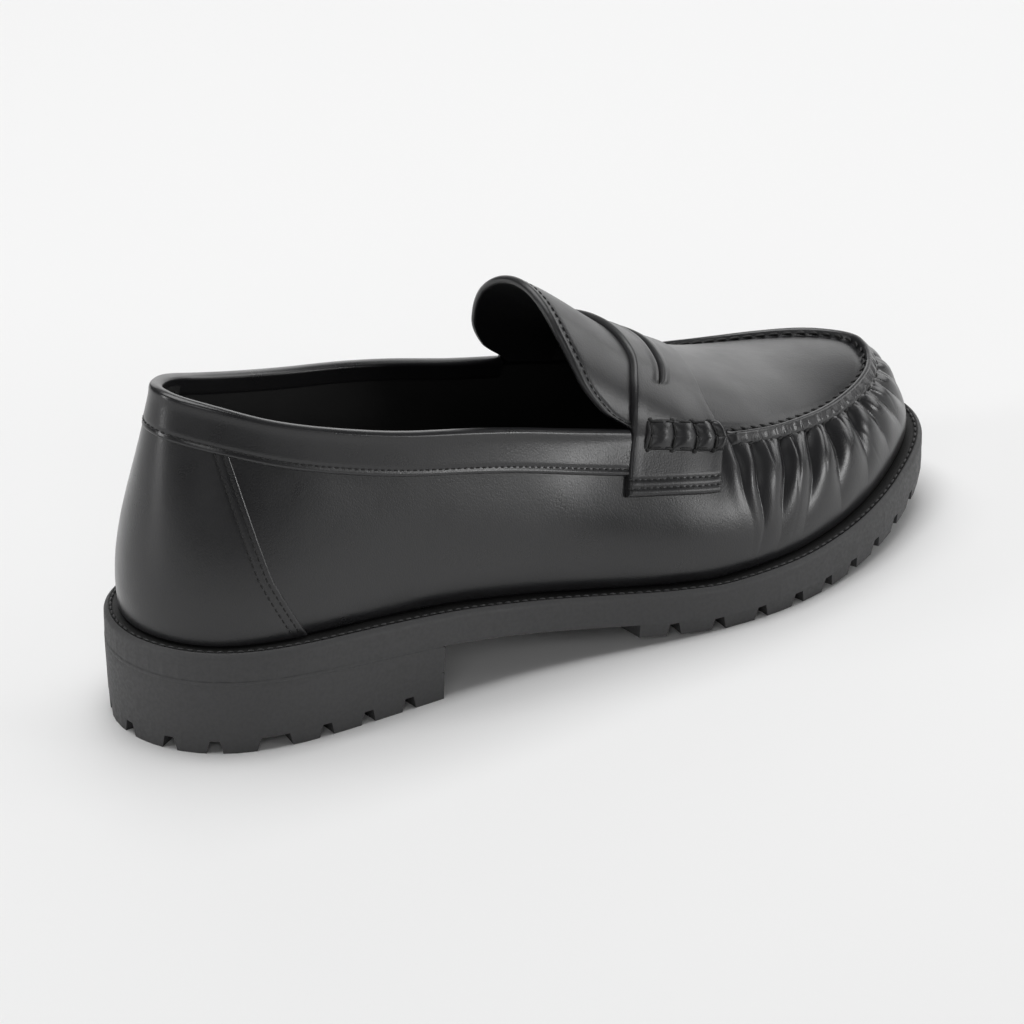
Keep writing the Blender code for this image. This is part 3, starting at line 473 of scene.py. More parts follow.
def add_range(tree, source, low, high, from_low=0.0, from_high=1.0):
    """A value fitted from one range to another."""
    fit = tree.nodes.new("ShaderNodeMapRange")
    fit.inputs["From Min"].default_value = from_low
    fit.inputs["From Max"].default_value = from_high
    fit.inputs["To Min"].default_value = low
    fit.inputs["To Max"].default_value = high
    tree.links.new(source, fit.inputs["Value"])
    return fit.outputs["Result"]


def add_bump(tree, height, strength, distance, under=None):
    """Relief over the surface, laid on another relief where one is given."""
    bump = tree.nodes.new("ShaderNodeBump")
    bump.inputs["Strength"].default_value = strength
    bump.inputs["Distance"].default_value = distance
    tree.links.new(height, bump.inputs["Height"])
    if under is not None:
        tree.links.new(under, bump.inputs["Normal"])
    return bump.outputs["Normal"]


cloud_scale = 60.0
pore_scale = 1500.0
grain_scale = 2600.0
soft_scale = 110.0
roughness_spread = 0.05


def leather_finish(name, colour, roughness, coat, grain):
    """Leather: a cloudy shine, pores, fine grain and a very low wide swell."""
    finish, tree, shader = new_finish(name, colour, roughness)
    shader.inputs["Coat Weight"].default_value = coat
    shader.inputs["Coat Roughness"].default_value = 0.22
    shader.inputs["Specular IOR Level"].default_value = 0.5
    cloud = add_noise(tree, cloud_scale, 3.0)
    lowest = roughness - roughness_spread
    highest = roughness + roughness_spread
    rough = add_range(tree, cloud.outputs["Fac"], lowest, highest, 0.3, 0.7)
    tree.links.new(rough, shader.inputs["Roughness"])
    pores = add_noise(tree, pore_scale, 2.0, "cells")
    fine = add_noise(tree, grain_scale, 4.0)
    pore_height = add_range(tree, pores.outputs["Distance"], 0.0, 1.0, 0.0, 0.6)
    pore_relief = add_bump(tree, pore_height, grain, 0.00006)
    grain_relief = add_bump(tree, fine.outputs["Fac"], grain * 0.8, 0.00005, pore_relief)
    soft = add_noise(tree, soft_scale, 2.0)
    relief = add_bump(tree, soft.outputs["Fac"], 0.16, 0.0004, grain_relief)
    tree.links.new(relief, shader.inputs["Normal"])
    return finish


calf = leather_finish("black_calf", (0.0105, 0.0105, 0.0115), 0.31, 0.22, 0.30)
apron_calf = leather_finish("apron_calf", (0.013, 0.013, 0.014), 0.36, 0.12, 0.45)
strap_calf = leather_finish("strap_calf", (0.013, 0.013, 0.014), 0.37, 0.12, 0.40)
lining_leather = leather_finish("black_lining", (0.018, 0.018, 0.018), 0.55, 0.0, 0.30)
sock_leather = leather_finish("sock_leather", (0.020, 0.020, 0.020), 0.50, 0.05, 0.30)
# Welt colour: darker than the calf, partly the welt's own black and partly painted shade under the upper.
welt_black_and_painted_shade = leather_finish("black_welt_and_painted_shade", (0.004, 0.004, 0.004), 0.66, 0.0, 0.60)
# Thread colour: its own black, made darker than the calf as painted shade of the stitch holes.
thread_and_hole_shade = leather_finish("black_thread_and_hole_shade", (0.004, 0.004, 0.004), 0.62, 0.0, 0.60)
waxed_thread = leather_finish("waxed_thread", (0.030, 0.030, 0.031), 0.50, 0.0, 0.60)
print("leathers and threads:", calf.name, apron_calf.name, strap_calf.name, lining_leather.name,
      sock_leather.name, welt_black_and_painted_shade.name, thread_and_hole_shade.name, waxed_thread.name)

# %% [markdown]
# The rubber of the sole is a matte dark grey with a faint mould skin: it scatters light widely, so it looks
# lighter than the leather although both are black. Tiny speckles in roughness and a fine bump do that.

# %% Rubber
speck_scale = 900.0
mould_scale = 1800.0
wide_scale = 45.0
speck_spread = 0.08


def rubber_finish(name, colour, roughness):
    """Moulded rubber: speckled roughness, a fine mould skin and faint wide unevenness."""
    finish, tree, shader = new_finish(name, colour, roughness)
    shader.inputs["Specular IOR Level"].default_value = 0.45
    speck = add_noise(tree, speck_scale, 3.0)
    lowest = roughness - speck_spread
    highest = roughness + speck_spread
    rough = add_range(tree, speck.outputs["Fac"], lowest, highest, 0.35, 0.65)
    tree.links.new(rough, shader.inputs["Roughness"])
    fine = add_noise(tree, mould_scale, 5.0)
    skin_relief = add_bump(tree, fine.outputs["Fac"], 0.35, 0.00008)
    wide = add_noise(tree, wide_scale, 2.0)
    relief = add_bump(tree, wide.outputs["Fac"], 0.12, 0.0006, skin_relief)
    tree.links.new(relief, shader.inputs["Normal"])
    return finish


sole_rubber = rubber_finish("sole_rubber", (0.048, 0.048, 0.049), 0.60)
print("rubber:", sole_rubber.name)

# %% [markdown]
# The outer wall is one skin from the welt up to the collar and the apron seam. Round the toe the maker
# gathers its longer edge into the shorter edge of the apron, which throws a row of pleats: valleys that
# start pinched at the stitch holes and open out downwards, with full round lobes between them. Noise would
# look crumpled, so they are listed one by one: how far along the seam each valley starts, how it leans as it
# goes down, how deep, long and wide it is. At the side they are long and lean back, round the toe they are
# short and fan forward. Each lobe is an arch from valley to valley, and fine creases run down some lobes.

# %% Pleats along the apron seam
seam_start_station = 8.84
seam_drop = 0.0034
# valleys: place along the seam, lean, depth, length, width
PLEATS = (
    (0.0010, -0.12, 0.0007, 0.017, 0.0018),
    (0.0085, -0.25, 0.0015, 0.023, 0.0021),
    (0.0205, -0.42, 0.0016, 0.023, 0.0023),
    (0.0325, -0.48, 0.0014, 0.022, 0.0021),
    (0.0415, -0.22, 0.0015, 0.020, 0.0021),
    (0.0535, -0.10, 0.0015, 0.016, 0.0019),
    (0.0610, 0.28, 0.0012, 0.015, 0.0015),
    (0.0680, 0.50, 0.0011, 0.014, 0.0013),
    (0.0750, 0.50, 0.0011, 0.013, 0.0013),
    (0.0825, 0.38, 0.0010, 0.013, 0.0013),
    (0.0900, 0.15, 0.0010, 0.012, 0.0012),
)
# fine creases on the lobes: place along the seam, lean, depth, length
CREASES = (
    (0.0137, -0.20, 0.00030, 0.010),
    (0.0165, -0.40, 0.00018, 0.014),
    (0.0248, -0.38, 0.00038, 0.024),
    (0.0285, -0.50, 0.00016, 0.012),
    (0.0372, -0.42, 0.00030, 0.012),
    (0.0470, 0.05, 0.00028, 0.010),
    (0.0502, 0.44, 0.00036, 0.016),
    (0.0577, 0.56, 0.00032, 0.014),
    (0.0650, 0.58, 0.00030, 0.013),
    (0.0712, 0.46, 0.00026, 0.013),
    (0.0792, 0.40, 0.00024, 0.012),
    (0.0865, 0.25, 0.00022, 0.010),
)
seam_first = float(run_at(seam_start_station, -1))
seam_last = float(run_at(seam_start_station, 1))
seam_runs = np.linspace(seam_first, seam_last, 3000)
seam_path = wall_point(seam_runs, 1.0)
seam_lengths = run_lengths(seam_path)
seam_total = float(seam_lengths[-1])
print("apron seam:", round(seam_total * 1000), "mm,", 2 * len(PLEATS), "pleats")


def both_sides(rows):
    """The rows for the outer half of the seam, then the same mirrored for the inner half."""
    mirrored = [(seam_total - row[0], -row[1]) + tuple(row[2:]) for row in rows]
    return list(rows) + mirrored


flat_before = (-0.007, 0.0, 0.0, 0.017, 0.002)
flat_after = (seam_total + 0.007, 0.0, 0.0, 0.017, 0.002)


def pleat_height(run, below):
    """Lift of the wall by the pleats, at a distance below the top line."""
    before_seam = np.where(run < seam_first, seam_first - run, 0.0)
    after_seam = np.where(run > seam_last, run - seam_last, 0.0)
    beyond = before_seam + after_seam
    along = np.interp(run, seam_runs, seam_lengths)
    along = np.where(run < seam_first, -beyond, np.where(run > seam_last, seam_total + beyond, along))
    down = np.maximum(below - seam_drop, 0.0)
    lift = np.zeros(run.shape)
    rows = [flat_before] + sorted(both_sides(PLEATS)) + [flat_after]
    valleys = []
    for place, lean, depth, length, width in rows:
        bend = lean * down + 0.0005 * np.sin(down * 260.0 + place * 900.0) * soft_step(down, 0.0, 0.01)
        fade = depth * np.exp(-((down / length) ** 2.6))
        wide = width * (0.42 + 0.95 * down / length)
        valleys.append((place + bend, fade))
        lift = lift - 0.45 * fade * np.exp(-(np.abs(along - place - bend) / wide) ** 1.7)
    for before, after in zip(valleys[:-1], valleys[1:]):
        part = (along - before[0]) / np.maximum(after[0] - before[0], 0.001)
        inside = (part >= 0.0) & (part < 1.0)
        part = np.clip(part, 0.0, 1.0)
        full = (before[1] * (1.0 - part) + after[1] * part) * (1.0 - 0.7 * np.exp(-down / 0.0016))
        lift = lift + inside * full * (1.25 * np.sin(math.pi * part) ** 0.85 - 0.45)
    for place, lean, depth, length in both_sides(CREASES):
        bend = lean * down + 0.0003 * np.sin(down * 420.0 + place * 700.0)
        crease = np.exp(-(np.abs(along - place - bend) / 0.00055) ** 1.5)
        lift = lift - 0.6 * depth * np.exp(-((down / length) ** 3)) * crease
    middle = np.minimum(along, seam_total - along)
    reach = 0.010 - 0.003 * soft_step(middle, 0.03, 0.08)
    swell = 0.0010 * np.exp(-(((down - reach * 0.8) / reach) ** 2)) * soft_step(middle, -0.012, 0.004)
    edge = soft_step(beyond, 0.016, 0.0)
    return (lift + swell) * edge


def dent_height(run, share):
    """Broad, soft dents that keep the wall from looking like a casting."""
    turn = np.asarray(run, float) / last_knots[-1] * 2 * math.pi
    wave = np.sin(turn * 6 + share * 3.0) * np.sin(turn * 2 - share * 5.0 + 1.0)
    ripple = np.sin(turn * 14 + 2.0 * share) * np.sin(share * 9.0 + 0.7)
    return 0.00016 * wave + 0.00005 * ripple


# %% [markdown]
# The wall is laid out as a fine grid, closest round the toe where the pleats are, and its lowest rows turn
# in under the foot line so that a dark line shows between leather and welt.

# %% The outer wall
toe_first = seam_first - 0.012
toe_last = seam_last + 0.012
toe_runs = np.linspace(toe_first, toe_last, 780, endpoint=False)
inner_runs = np.linspace(toe_last, last_knots[-1], 90, endpoint=False)
outer_runs = np.linspace(0.0, toe_first, 90, endpoint=False)
wall_runs = np.concatenate([outer_runs, toe_runs, inner_runs])
wall_shares = np.linspace(0.012, 1.0, 92)
run_grid, share_grid = np.meshgrid(wall_runs, wall_shares)
bare_wall, _ = wall(run_grid, share_grid)
up_lengths = run_lengths(bare_wall)
below_grid = up_lengths[-1][None, :] - up_lengths
lift_grid = pleat_height(run_grid, below_grid) + dent_height(run_grid, share_grid)
lift_grid = lift_grid * soft_step(up_lengths, 0.0, 0.006)
wall_grid, _ = wall(run_grid, share_grid, lift_grid)
under = outline(wall_runs, -0.0016, part_gap * 0.6) + to_frame
nearly = outline(wall_runs, -0.0003, part_gap * 0.8) + to_frame
wall_grid = np.concatenate([under[None], nearly[None], wall_grid])
add_sheet("outer_wall", wall_grid, calf, ("upper",), around=True)

# %% [markdown]
# The apron is the flat piece over the toes. It is a plain skin over the crown, held all round by the raised
# seam, and it dips slightly just inside that seam where the stitches pull it down.

# %% The apron
apron_stations = np.linspace(8.2, last_row - 0.004, 190)
apron_turns = np.linspace(0.0, 180.0, 150)
station_grid, turn_grid = np.meshgrid(apron_stations, apron_turns)
bare_apron, _ = crown(station_grid, turn_grid)
seam_points = seam_path[::12] + to_frame
from_edge = np.full(bare_apron.shape[:2], 1.0)
for seam_point in seam_points:
    from_edge = np.minimum(from_edge, np.linalg.norm(bare_apron - seam_point, axis=-1))
apron_lift = 0.0002 * np.sin(station_grid * 2.2) * np.sin(np.radians(turn_grid) * 2.0)
apron_lift = apron_lift - 0.0003 * np.exp(-((from_edge - 0.0022) / 0.0014) ** 2)
apron_grid, _ = crown(station_grid, turn_grid, apron_lift)
add_sheet("apron", apron_grid, apron_calf, flip=True)

# %% [markdown]
# Inside, the shoe is lined with thin black leather. The lining follows the wall not quite two millimetres
# in, and a separate heel grip with a stitched front edge sits at the back. Both are the wall again with a
# negative lift, which keeps them parallel to the outside.

# %% Lining and heel grip
lining_depth = 0.0017
lining_runs = np.linspace(0.0, last_knots[-1], 300, endpoint=False)
lining_shares = np.linspace(0.02, 0.985, 26)
lining_run_grid, lining_share_grid = np.meshgrid(lining_runs, lining_shares)
lining_grid, _ = wall(lining_run_grid, lining_share_grid, np.full(lining_run_grid.shape, -lining_depth))
add_sheet("wall_lining", lining_grid, lining_leather, around=True, flip=True)
roof_stations = np.linspace(8.0, last_row - 0.35, 60)
roof_turns = np.linspace(4, 176, 60)
roof_station_grid, roof_turn_grid = np.meshgrid(roof_stations, roof_turns)
roof_grid, _ = crown(roof_station_grid, roof_turn_grid, np.full(roof_turn_grid.shape, -lining_depth))
add_sheet("apron_lining", roof_grid, lining_leather)

grip_station = 2.6
grip_parts = np.linspace(-grip_station, grip_station, 140)
grip_shares = np.linspace(0.25, 0.975, 40)
grip_part_grid, grip_share_grid = np.meshgrid(grip_parts, grip_shares)
grip_runs = run_at(np.abs(grip_part_grid), np.where(grip_part_grid < 0, -1, 1))
grip_edge = (grip_station - np.abs(grip_part_grid)) * 0.0085
grip_lift = -(lining_depth + edge_roll(grip_edge, 0.0009, 0.0008))
grip_grid, _ = wall(grip_runs, grip_share_grid, grip_lift)
add_sheet("heel_grip", grip_grid, lining_leather)
for side, name in ((-1, "outer"), (1, "inner")):
    line_shares = np.linspace(0.45, 0.955, 80)
    line_runs = np.full(80, float(run_at(grip_station - 0.28, side)))
    line, line_out = wall(line_runs, line_shares, np.full(80, -(lining_depth + 0.0009)))
    stitch_row("grip_stitches_" + name, line, -line_out, pitch=0.0026, length=0.0018, radius=0.00022)

# %% [markdown]
# The collar band is a strip folded over the top edge and stitched down about twelve millimetres lower. Seen
# from outside it is a slightly raised band with a rounded lip; its one row of stitches runs close to the
# lower edge. Its section goes up the outside, over the lip and a little way down inside.

# %% The collar band
band_height = 0.0123
band_raise = 0.0012
band_inside = 0.0052
band_stitch_depth = 0.0021
band_end_station = 7.60
band_parts = np.linspace(-1.0, 1.0, 560)


def share_below_top(run, depth):
    """Share of the wall that lies a given depth below its top."""
    low = np.full(run.shape, 0.3)
    high = np.ones(run.shape)
    wanted = wall_point(run, 1.0)[:, 2] - depth
    for _ in range(26):
        middle = (low + high) / 2
        below = wall_point(run, middle)[:, 2] < wanted
        low = np.where(below, middle, low)
        high = np.where(below, high, middle)
    return (low + high) / 2


band_rows = []
band_outs = []
band_sides = np.where(band_parts < 0, -1, 1)
depths = np.concatenate([[0.0, 0.00006, 0.0002, 0.0004, 0.0007], np.linspace(0.0010, band_height, 24)])
for depth in depths:
    lower = band_height - depth
    lean = lower / 0.055 * 0.62
    stations = np.abs(band_parts) * (band_end_station - lean * 0.24)
    runs = run_at(stations, band_sides)
    shares = share_below_top(runs, lower)
    lift = part_gap * 0.5 + edge_roll(np.full(len(runs), depth), band_raise, 0.0008)
    lift = lift + groove(np.full(len(runs), depth - band_stitch_depth), 0.00022, 0.0006)
    lift = lift + 0.0002 * np.exp(-((lower / 0.0016) ** 2))
    line, out = wall(runs, shares, lift)
    band_rows.append(line)
    band_outs.append(out)
top_out = band_outs[-1]
top_runs = run_at(np.abs(band_parts) * band_end_station, band_sides)
near_top, _ = wall(top_runs, np.full(len(top_runs), 0.96))
bare_top, _ = wall(top_runs, np.full(len(top_runs), 1.0))
top_up = unit(bare_top - near_top)
lip_outer = part_gap * 0.5 + band_raise + 0.0002
lip_inner = lining_depth + 0.0008
lip_middle = (lip_outer - lip_inner) / 2
lip_half = (lip_outer + lip_inner) / 2
for angle in np.linspace(10, 180, 14):
    turn = math.radians(angle)
    rise = math.sin(turn) ** 0.85 * 0.0015
    band_rows.append(bare_top + top_out * (lip_middle + lip_half * math.cos(turn)) + top_up * rise)
for depth in np.linspace(0.0006, band_inside, 9):
    shares = share_below_top(top_runs, depth)
    thinned = edge_roll(max(0.0, 0.0008 - (band_inside - depth)), 0.0006, 0.0008)
    line, _ = wall(top_runs, shares, np.full(len(top_runs), -(lip_inner - thinned)))
    band_rows.append(line)
add_sheet("collar_binding", np.stack(band_rows), calf, ("collar_band",))
band_stitch_row = int(np.argmin(np.abs(depths - band_stitch_depth)))
stitch_row("collar_stitches", band_rows[band_stitch_row], band_outs[band_stitch_row],
           pitch=0.00225, length=0.0016, radius=0.00026)

# %% [markdown]
# The heel counter is an outer panel round the back. Its front edge slants forward as it goes down, and two
# rows of stitches hold it to the quarter in front of it.

# %% The heel counter
counter_foot_station = 3.50
counter_top_station = 2.20
counter_raise = 0.0009
counter_stitch_lines = (0.0021, 0.0047)
counter_parts = np.concatenate([
    -1.0 + np.array([0.0, 0.002, 0.005, 0.010, 0.018]),
    np.linspace(-0.97, 0.97, 190),
    1.0 - np.array([0.018, 0.010, 0.005, 0.002, 0.0]),
])
counter_ups = np.linspace(0.0, 1.0, 70)
part_grid, up_grid = np.meshgrid(counter_parts, counter_ups)
counter_front = counter_foot_station + (counter_top_station - counter_foot_station) * up_grid
counter_stations = np.abs(part_grid) * counter_front
counter_runs = run_at(counter_stations, np.where(part_grid < 0, -1, 1))
counter_top_shares = share_below_top(counter_runs.ravel(), 0.0118).reshape(counter_runs.shape)
counter_share_grid = 0.012 + (counter_top_shares - 0.012) * up_grid
flat_counter, _ = wall(counter_runs, counter_share_grid)
counter_across = run_lengths(flat_counter.transpose(1, 0, 2)).transpose(1, 0)
counter_edge = np.minimum(counter_across, counter_across[:, -1:] - counter_across)
counter_lift = edge_roll(counter_edge, counter_raise, 0.0007) + part_gap * 0.3
for distance in counter_stitch_lines:
    counter_lift = counter_lift + groove(counter_edge - distance, 0.00016, 0.0005)
counter_lift = counter_lift + dent_height(counter_runs, counter_share_grid)
counter_grid, counter_out = wall(counter_runs, counter_share_grid, counter_lift)
add_sheet("counter_panel", counter_grid, calf, ("heel_counter",))


def line_at_distance(grid, outs, across, distance, from_last=False):
    """The line on a grid that keeps a distance from its first or last column."""
    points = []
    directions = []
    for row in range(grid.shape[0]):
        lengths = across[row]
        wanted = lengths[-1] - distance if from_last else distance
        points.append([np.interp(wanted, lengths, grid[row, :, i]) for i in range(3)])
        directions.append([np.interp(wanted, lengths, outs[row, :, i]) for i in range(3)])
    return np.array(points), unit(np.array(directions))


for from_last, side in ((False, "outer"), (True, "inner")):
    for number, distance in enumerate(counter_stitch_lines):
        line, line_out = line_at_distance(counter_grid, counter_out, counter_across, distance, from_last)
        stitch_row("counter_stitches_%s_%d" % (side, number + 1), line[2:], line_out[2:],
                   pitch=0.00235, length=0.0017, radius=0.00025)

# %% [markdown]
# The tongue stands up out of the throat as one thick piece with a turned edge. It is drawn as a loop of
# section lines: over the outside towards the free edge, round the edge and back down the inside.

# %% The tongue
# how far round from the side to the middle, station of the tongue's free edge there
TONGUE_EDGE = (
    (0.00, 7.68),
    (0.07, 7.60),
    (0.17, 7.30),
    (0.33, 7.09),
    (0.60, 7.00),
    (1.00, 7.02),
    (1.40, 7.00),
)
tongue_wall = 0.0022
tongue_front = 8.30
tongue_station_length = 0.027
tongue_stitch_depth = 0.0036
tongue_turns = np.concatenate([np.linspace(1.5, 20, 30, endpoint=False), np.linspace(20, 160, 120),
                               np.linspace(160, 178.5, 31)[1:]])
tongue_edges = table_value(TONGUE_EDGE, 1, np.minimum(tongue_turns, 180.0 - tongue_turns) / 90.0)
tongue_rows = []
steps = np.concatenate([np.linspace(1.0, 0.12, 30), np.linspace(0.105, 0.0, 9)])
stitch_line = None


def turned_edge(distance):
    """How far a face draws back near the free edge: a quarter circle of half the tongue's thickness."""
    half = tongue_wall / 2
    return half - np.sqrt(np.maximum(0.0, half**2 - np.maximum(0.0, half - distance) ** 2))


for step in steps:
    stations = tongue_edges + (tongue_front - tongue_edges) * step
    point, out = crown(stations, tongue_turns)
    distance = step * (tongue_front - tongue_edges) * tongue_station_length
    swell = 0.00035 * np.exp(-((distance - 0.0013) / 0.0012) ** 2)
    tuck = groove(distance - 0.0033, 0.00028, 0.0006)
    tongue_rows.append(point + out * (swell + tuck - turned_edge(distance))[:, None])
    if stitch_line is None and float(np.median(distance)) <= tongue_stitch_depth:
        stitch_line = (tongue_rows[-1], out)
for step in steps[::-1]:
    stations = tongue_edges + (tongue_front - tongue_edges) * step
    point, out = crown(stations, tongue_turns)
    distance = step * (tongue_front - tongue_edges) * tongue_station_length
    tongue_rows.append(point - out * (tongue_wall - turned_edge(distance))[:, None])
add_sheet("tongue_leather", np.stack(tongue_rows), strap_calf, ("tongue",))
line, line_out = stitch_line
stitch_row("tongue_stitches", line[8:-8], line_out[8:-8], pitch=0.0024, length=0.0017, radius=0.00026)

# %% [markdown]
# The saddle strap crosses the instep and runs down both sides as a tab. Its lines are first traced on the
# bare shoe, up the wall, over the crown and down again, and smoothed where the wall turns into the crown.
# The strap's halves, their stitches and the rolls over the seams are all read off these lines.

# %% Lines for the strap
# how far round from the side to the middle, stations of the strap's rear and front edge there
STRAP_ROWS = (
    (0.00, 7.62, 8.82),
    (0.17, 7.66, 8.77),
    (0.38, 7.78, 8.74),
    (0.67, 8.00, 8.86),
    (1.00, 8.08, 9.04),
    (1.33, 8.00, 8.86),
)
tab_foot_share = 0.61
tab_rear_lean = 0.24
tab_front_lean = 0.30
tab_parts = np.linspace(0.0, 1.0, 60)
over_turns = np.linspace(0.0, 180.0, 220)


def strap_line(width_share):
    """Points and directions of one line along the strap, with the lengths at which it crosses the seams."""
    points = []
    outs = []
    for side in (-1, 1):
        rear = STRAP_ROWS[0][1] - tab_rear_lean * (1.0 - tab_parts)
        front = STRAP_ROWS[0][2] - tab_front_lean * (1.0 - tab_parts)
        runs = run_at(rear + (front - rear) * width_share, side)
        point, out = wall(runs, tab_foot_share + (1.0 - tab_foot_share) * tab_parts)
        points.append(point)
        outs.append(out)
    rise = np.minimum(over_turns, 180.0 - over_turns) / 90.0
    rear = table_value(STRAP_ROWS, 1, rise)
    front = table_value(STRAP_ROWS, 2, rise)
    over, over_out = crown(rear + (front - rear) * width_share, over_turns)
    line = np.concatenate([points[0][:-1], over, points[1][::-1][1:]])
    outs = np.concatenate([outs[0][:-1], over_out, outs[1][::-1][1:]])
    first_seam = len(points[0]) - 1
    last_seam = first_seam + len(over) - 1
    lengths = run_lengths(line)
    marks = (float(lengths[first_seam]), float(lengths[last_seam]))
    return line, unit(outs), lengths, marks


def strap_grid_lines(width_shares, rows):
    """Evenly spaced points and directions on the strap, one column for each share of its width."""
    points = []
    outs = []
    marks = []
    for width_share in width_shares:
        line, out, lengths, mark = strap_line(width_share)
        wanted = np.linspace(0.0, lengths[-1], rows)
        points.append(smooth_along(sample_along(line, lengths, wanted), 14))
        outs.append(unit(smooth_along(sample_along(out, lengths, wanted), 14)))
        marks.append((mark[0], mark[1], float(lengths[-1])))
    return np.stack(points, 1), np.stack(outs, 1), np.array(marks)


strap_rows = 420
strap_shares = np.linspace(0.0, 1.0, 81)
strap_points, strap_outs, strap_marks = strap_grid_lines(strap_shares, strap_rows)
print("strap length over the instep:", round(float(strap_marks[40, 2]) * 1000), "mm")

# %% [markdown]
# The strap is cut open by a narrow curved slot, so it is drawn as two halves that part along the slot and
# meet again at both of its ends. Each half is lifted off the traced lines by the thickness of the leather,
# and the lift rolls down at every edge: the free edges, the feet of the tabs and both rims of the slot.

# %% The strap with its slot
strap_raise = 0.0019
slot_width = 0.0026
strap_width = 0.030
tab_stitch_lines = (0.0026, 0.0052)


def strap_piece(name, low_line, high_line, slot_side, replaces=()):
    """Half of the strap, between two lines given as shares of its width for each row."""
    columns = 46
    parts = (1 - np.cos(np.linspace(0.0, math.pi, columns))) / 2
    shares = low_line[:, None] + (high_line - low_line)[:, None] * parts[None, :]
    grid = np.empty((strap_rows, columns, 3))
    outs = np.empty((strap_rows, columns, 3))
    for i in range(3):
        for row in range(strap_rows):
            grid[row, :, i] = np.interp(shares[row], strap_shares, strap_points[row, :, i])
            outs[row, :, i] = np.interp(shares[row], strap_shares, strap_outs[row, :, i])
    outs = unit(outs)
    across = run_lengths(grid.transpose(1, 0, 2)).transpose(1, 0)
    along = run_lengths(grid)
    from_high = across[:, -1:] - across
    from_ends = np.minimum(along, along[-1:] - along)
    open_rows = slot_open[:, None]
    slot_distance = from_high if slot_side == "high" else across
    free_distance = across if slot_side == "high" else from_high
    edge = np.minimum(free_distance, from_ends)
    thin = 0.45 * soft_step(from_high, 0.016, 0.0) if slot_side == "low" else np.zeros(from_high.shape)
    height = edge_roll(edge, strap_raise, 0.0011) * (1.0 - thin)
    slot_roll = edge_roll(slot_distance, 1.0, 0.0010)
    height = height * (1.0 - open_rows * (1.0 - slot_roll))
    height = height + 0.00035 * open_rows * np.exp(-((slot_distance - 0.0016) / 0.0014) ** 2)
    height = height + 0.00006 * np.exp(-((edge - 0.0022) / 0.0016) ** 2)
    for distance in tab_stitch_lines:
        height = height + groove(from_ends - distance, 0.00025, 0.0006)
    height = height + part_gap * 0.4
    lifted = grid + outs * height[..., None]
    add_sheet(name, lifted, strap_calf, replaces, flip=True)
    return lifted, outs, from_ends


row_turns = np.linspace(0.0, 1.0, strap_rows)
middle_mark = strap_marks[40]
first_mark = middle_mark[0] / middle_mark[2]
last_mark = middle_mark[1] / middle_mark[2]
over_share = np.clip((row_turns - first_mark) / (last_mark - first_mark), 0.0, 1.0)
from_middle = np.abs(over_share - 0.5) * 2.0
slot_swell = np.clip(1.0 - (from_middle / 0.66) ** 2, 0.0, 1.0)
slot_open = soft_step(slot_swell, 0.0, 0.10)
slot_middle = 0.31 + 0.14 * np.sqrt(slot_swell)
slot_half = slot_width / 2 / strap_width * slot_swell ** 0.7
rear_edge = np.zeros(strap_rows)
front_edge = np.ones(strap_rows)
rear_half = strap_piece("strap_rear", rear_edge, slot_middle - slot_half, "high", ("saddle_strap",))
front_half = strap_piece("strap_front", slot_middle + slot_half, front_edge, "low")

# %% [markdown]
# Each tab is sewn down along its foot with two rows of short stitches. Such a row is the line on the strap
# that keeps one distance from the foot, and it stops short of the tab's free edges.

# %% Stitches along the feet of the tabs
tab_ends = (("outer", slice(0, 60)), ("inner", slice(strap_rows - 1, strap_rows - 61, -1)))
strap_halves = (("rear", rear_half, slice(3, None)), ("front", front_half, slice(0, -3)))
for part_name, (grid, outs, from_ends), keep in strap_halves:
    columns = np.arange(grid.shape[1])
    for number, distance in enumerate(tab_stitch_lines):
        for end_name, rows in tab_ends:
            picked = np.argmin(np.abs(from_ends[rows] - distance), axis=0)
            line = grid[rows][picked, columns][keep]
            line_out = outs[rows][picked, columns][keep]
            stitch_row("tab_stitches_%s_%s_%d" % (part_name, end_name, number + 1), line, line_out,
                       pitch=0.0023, length=0.00165, radius=0.00026)

# %% [markdown]
# Over each seam the strap's end is rolled and tied down with thick stitches, which leaves three plump
# pillows in a row. The roll is a height field over the strap, pinched at each tie.

# %% The stitched rolls
# shares across the strap at which the ties sit
ROLL_TIES = (0.17, 0.42, 0.66, 0.87)
roll_first = 0.13
roll_last = 0.975
roll_half_height = 0.0049
roll_raise = 0.0030
roll_sink = 0.0005


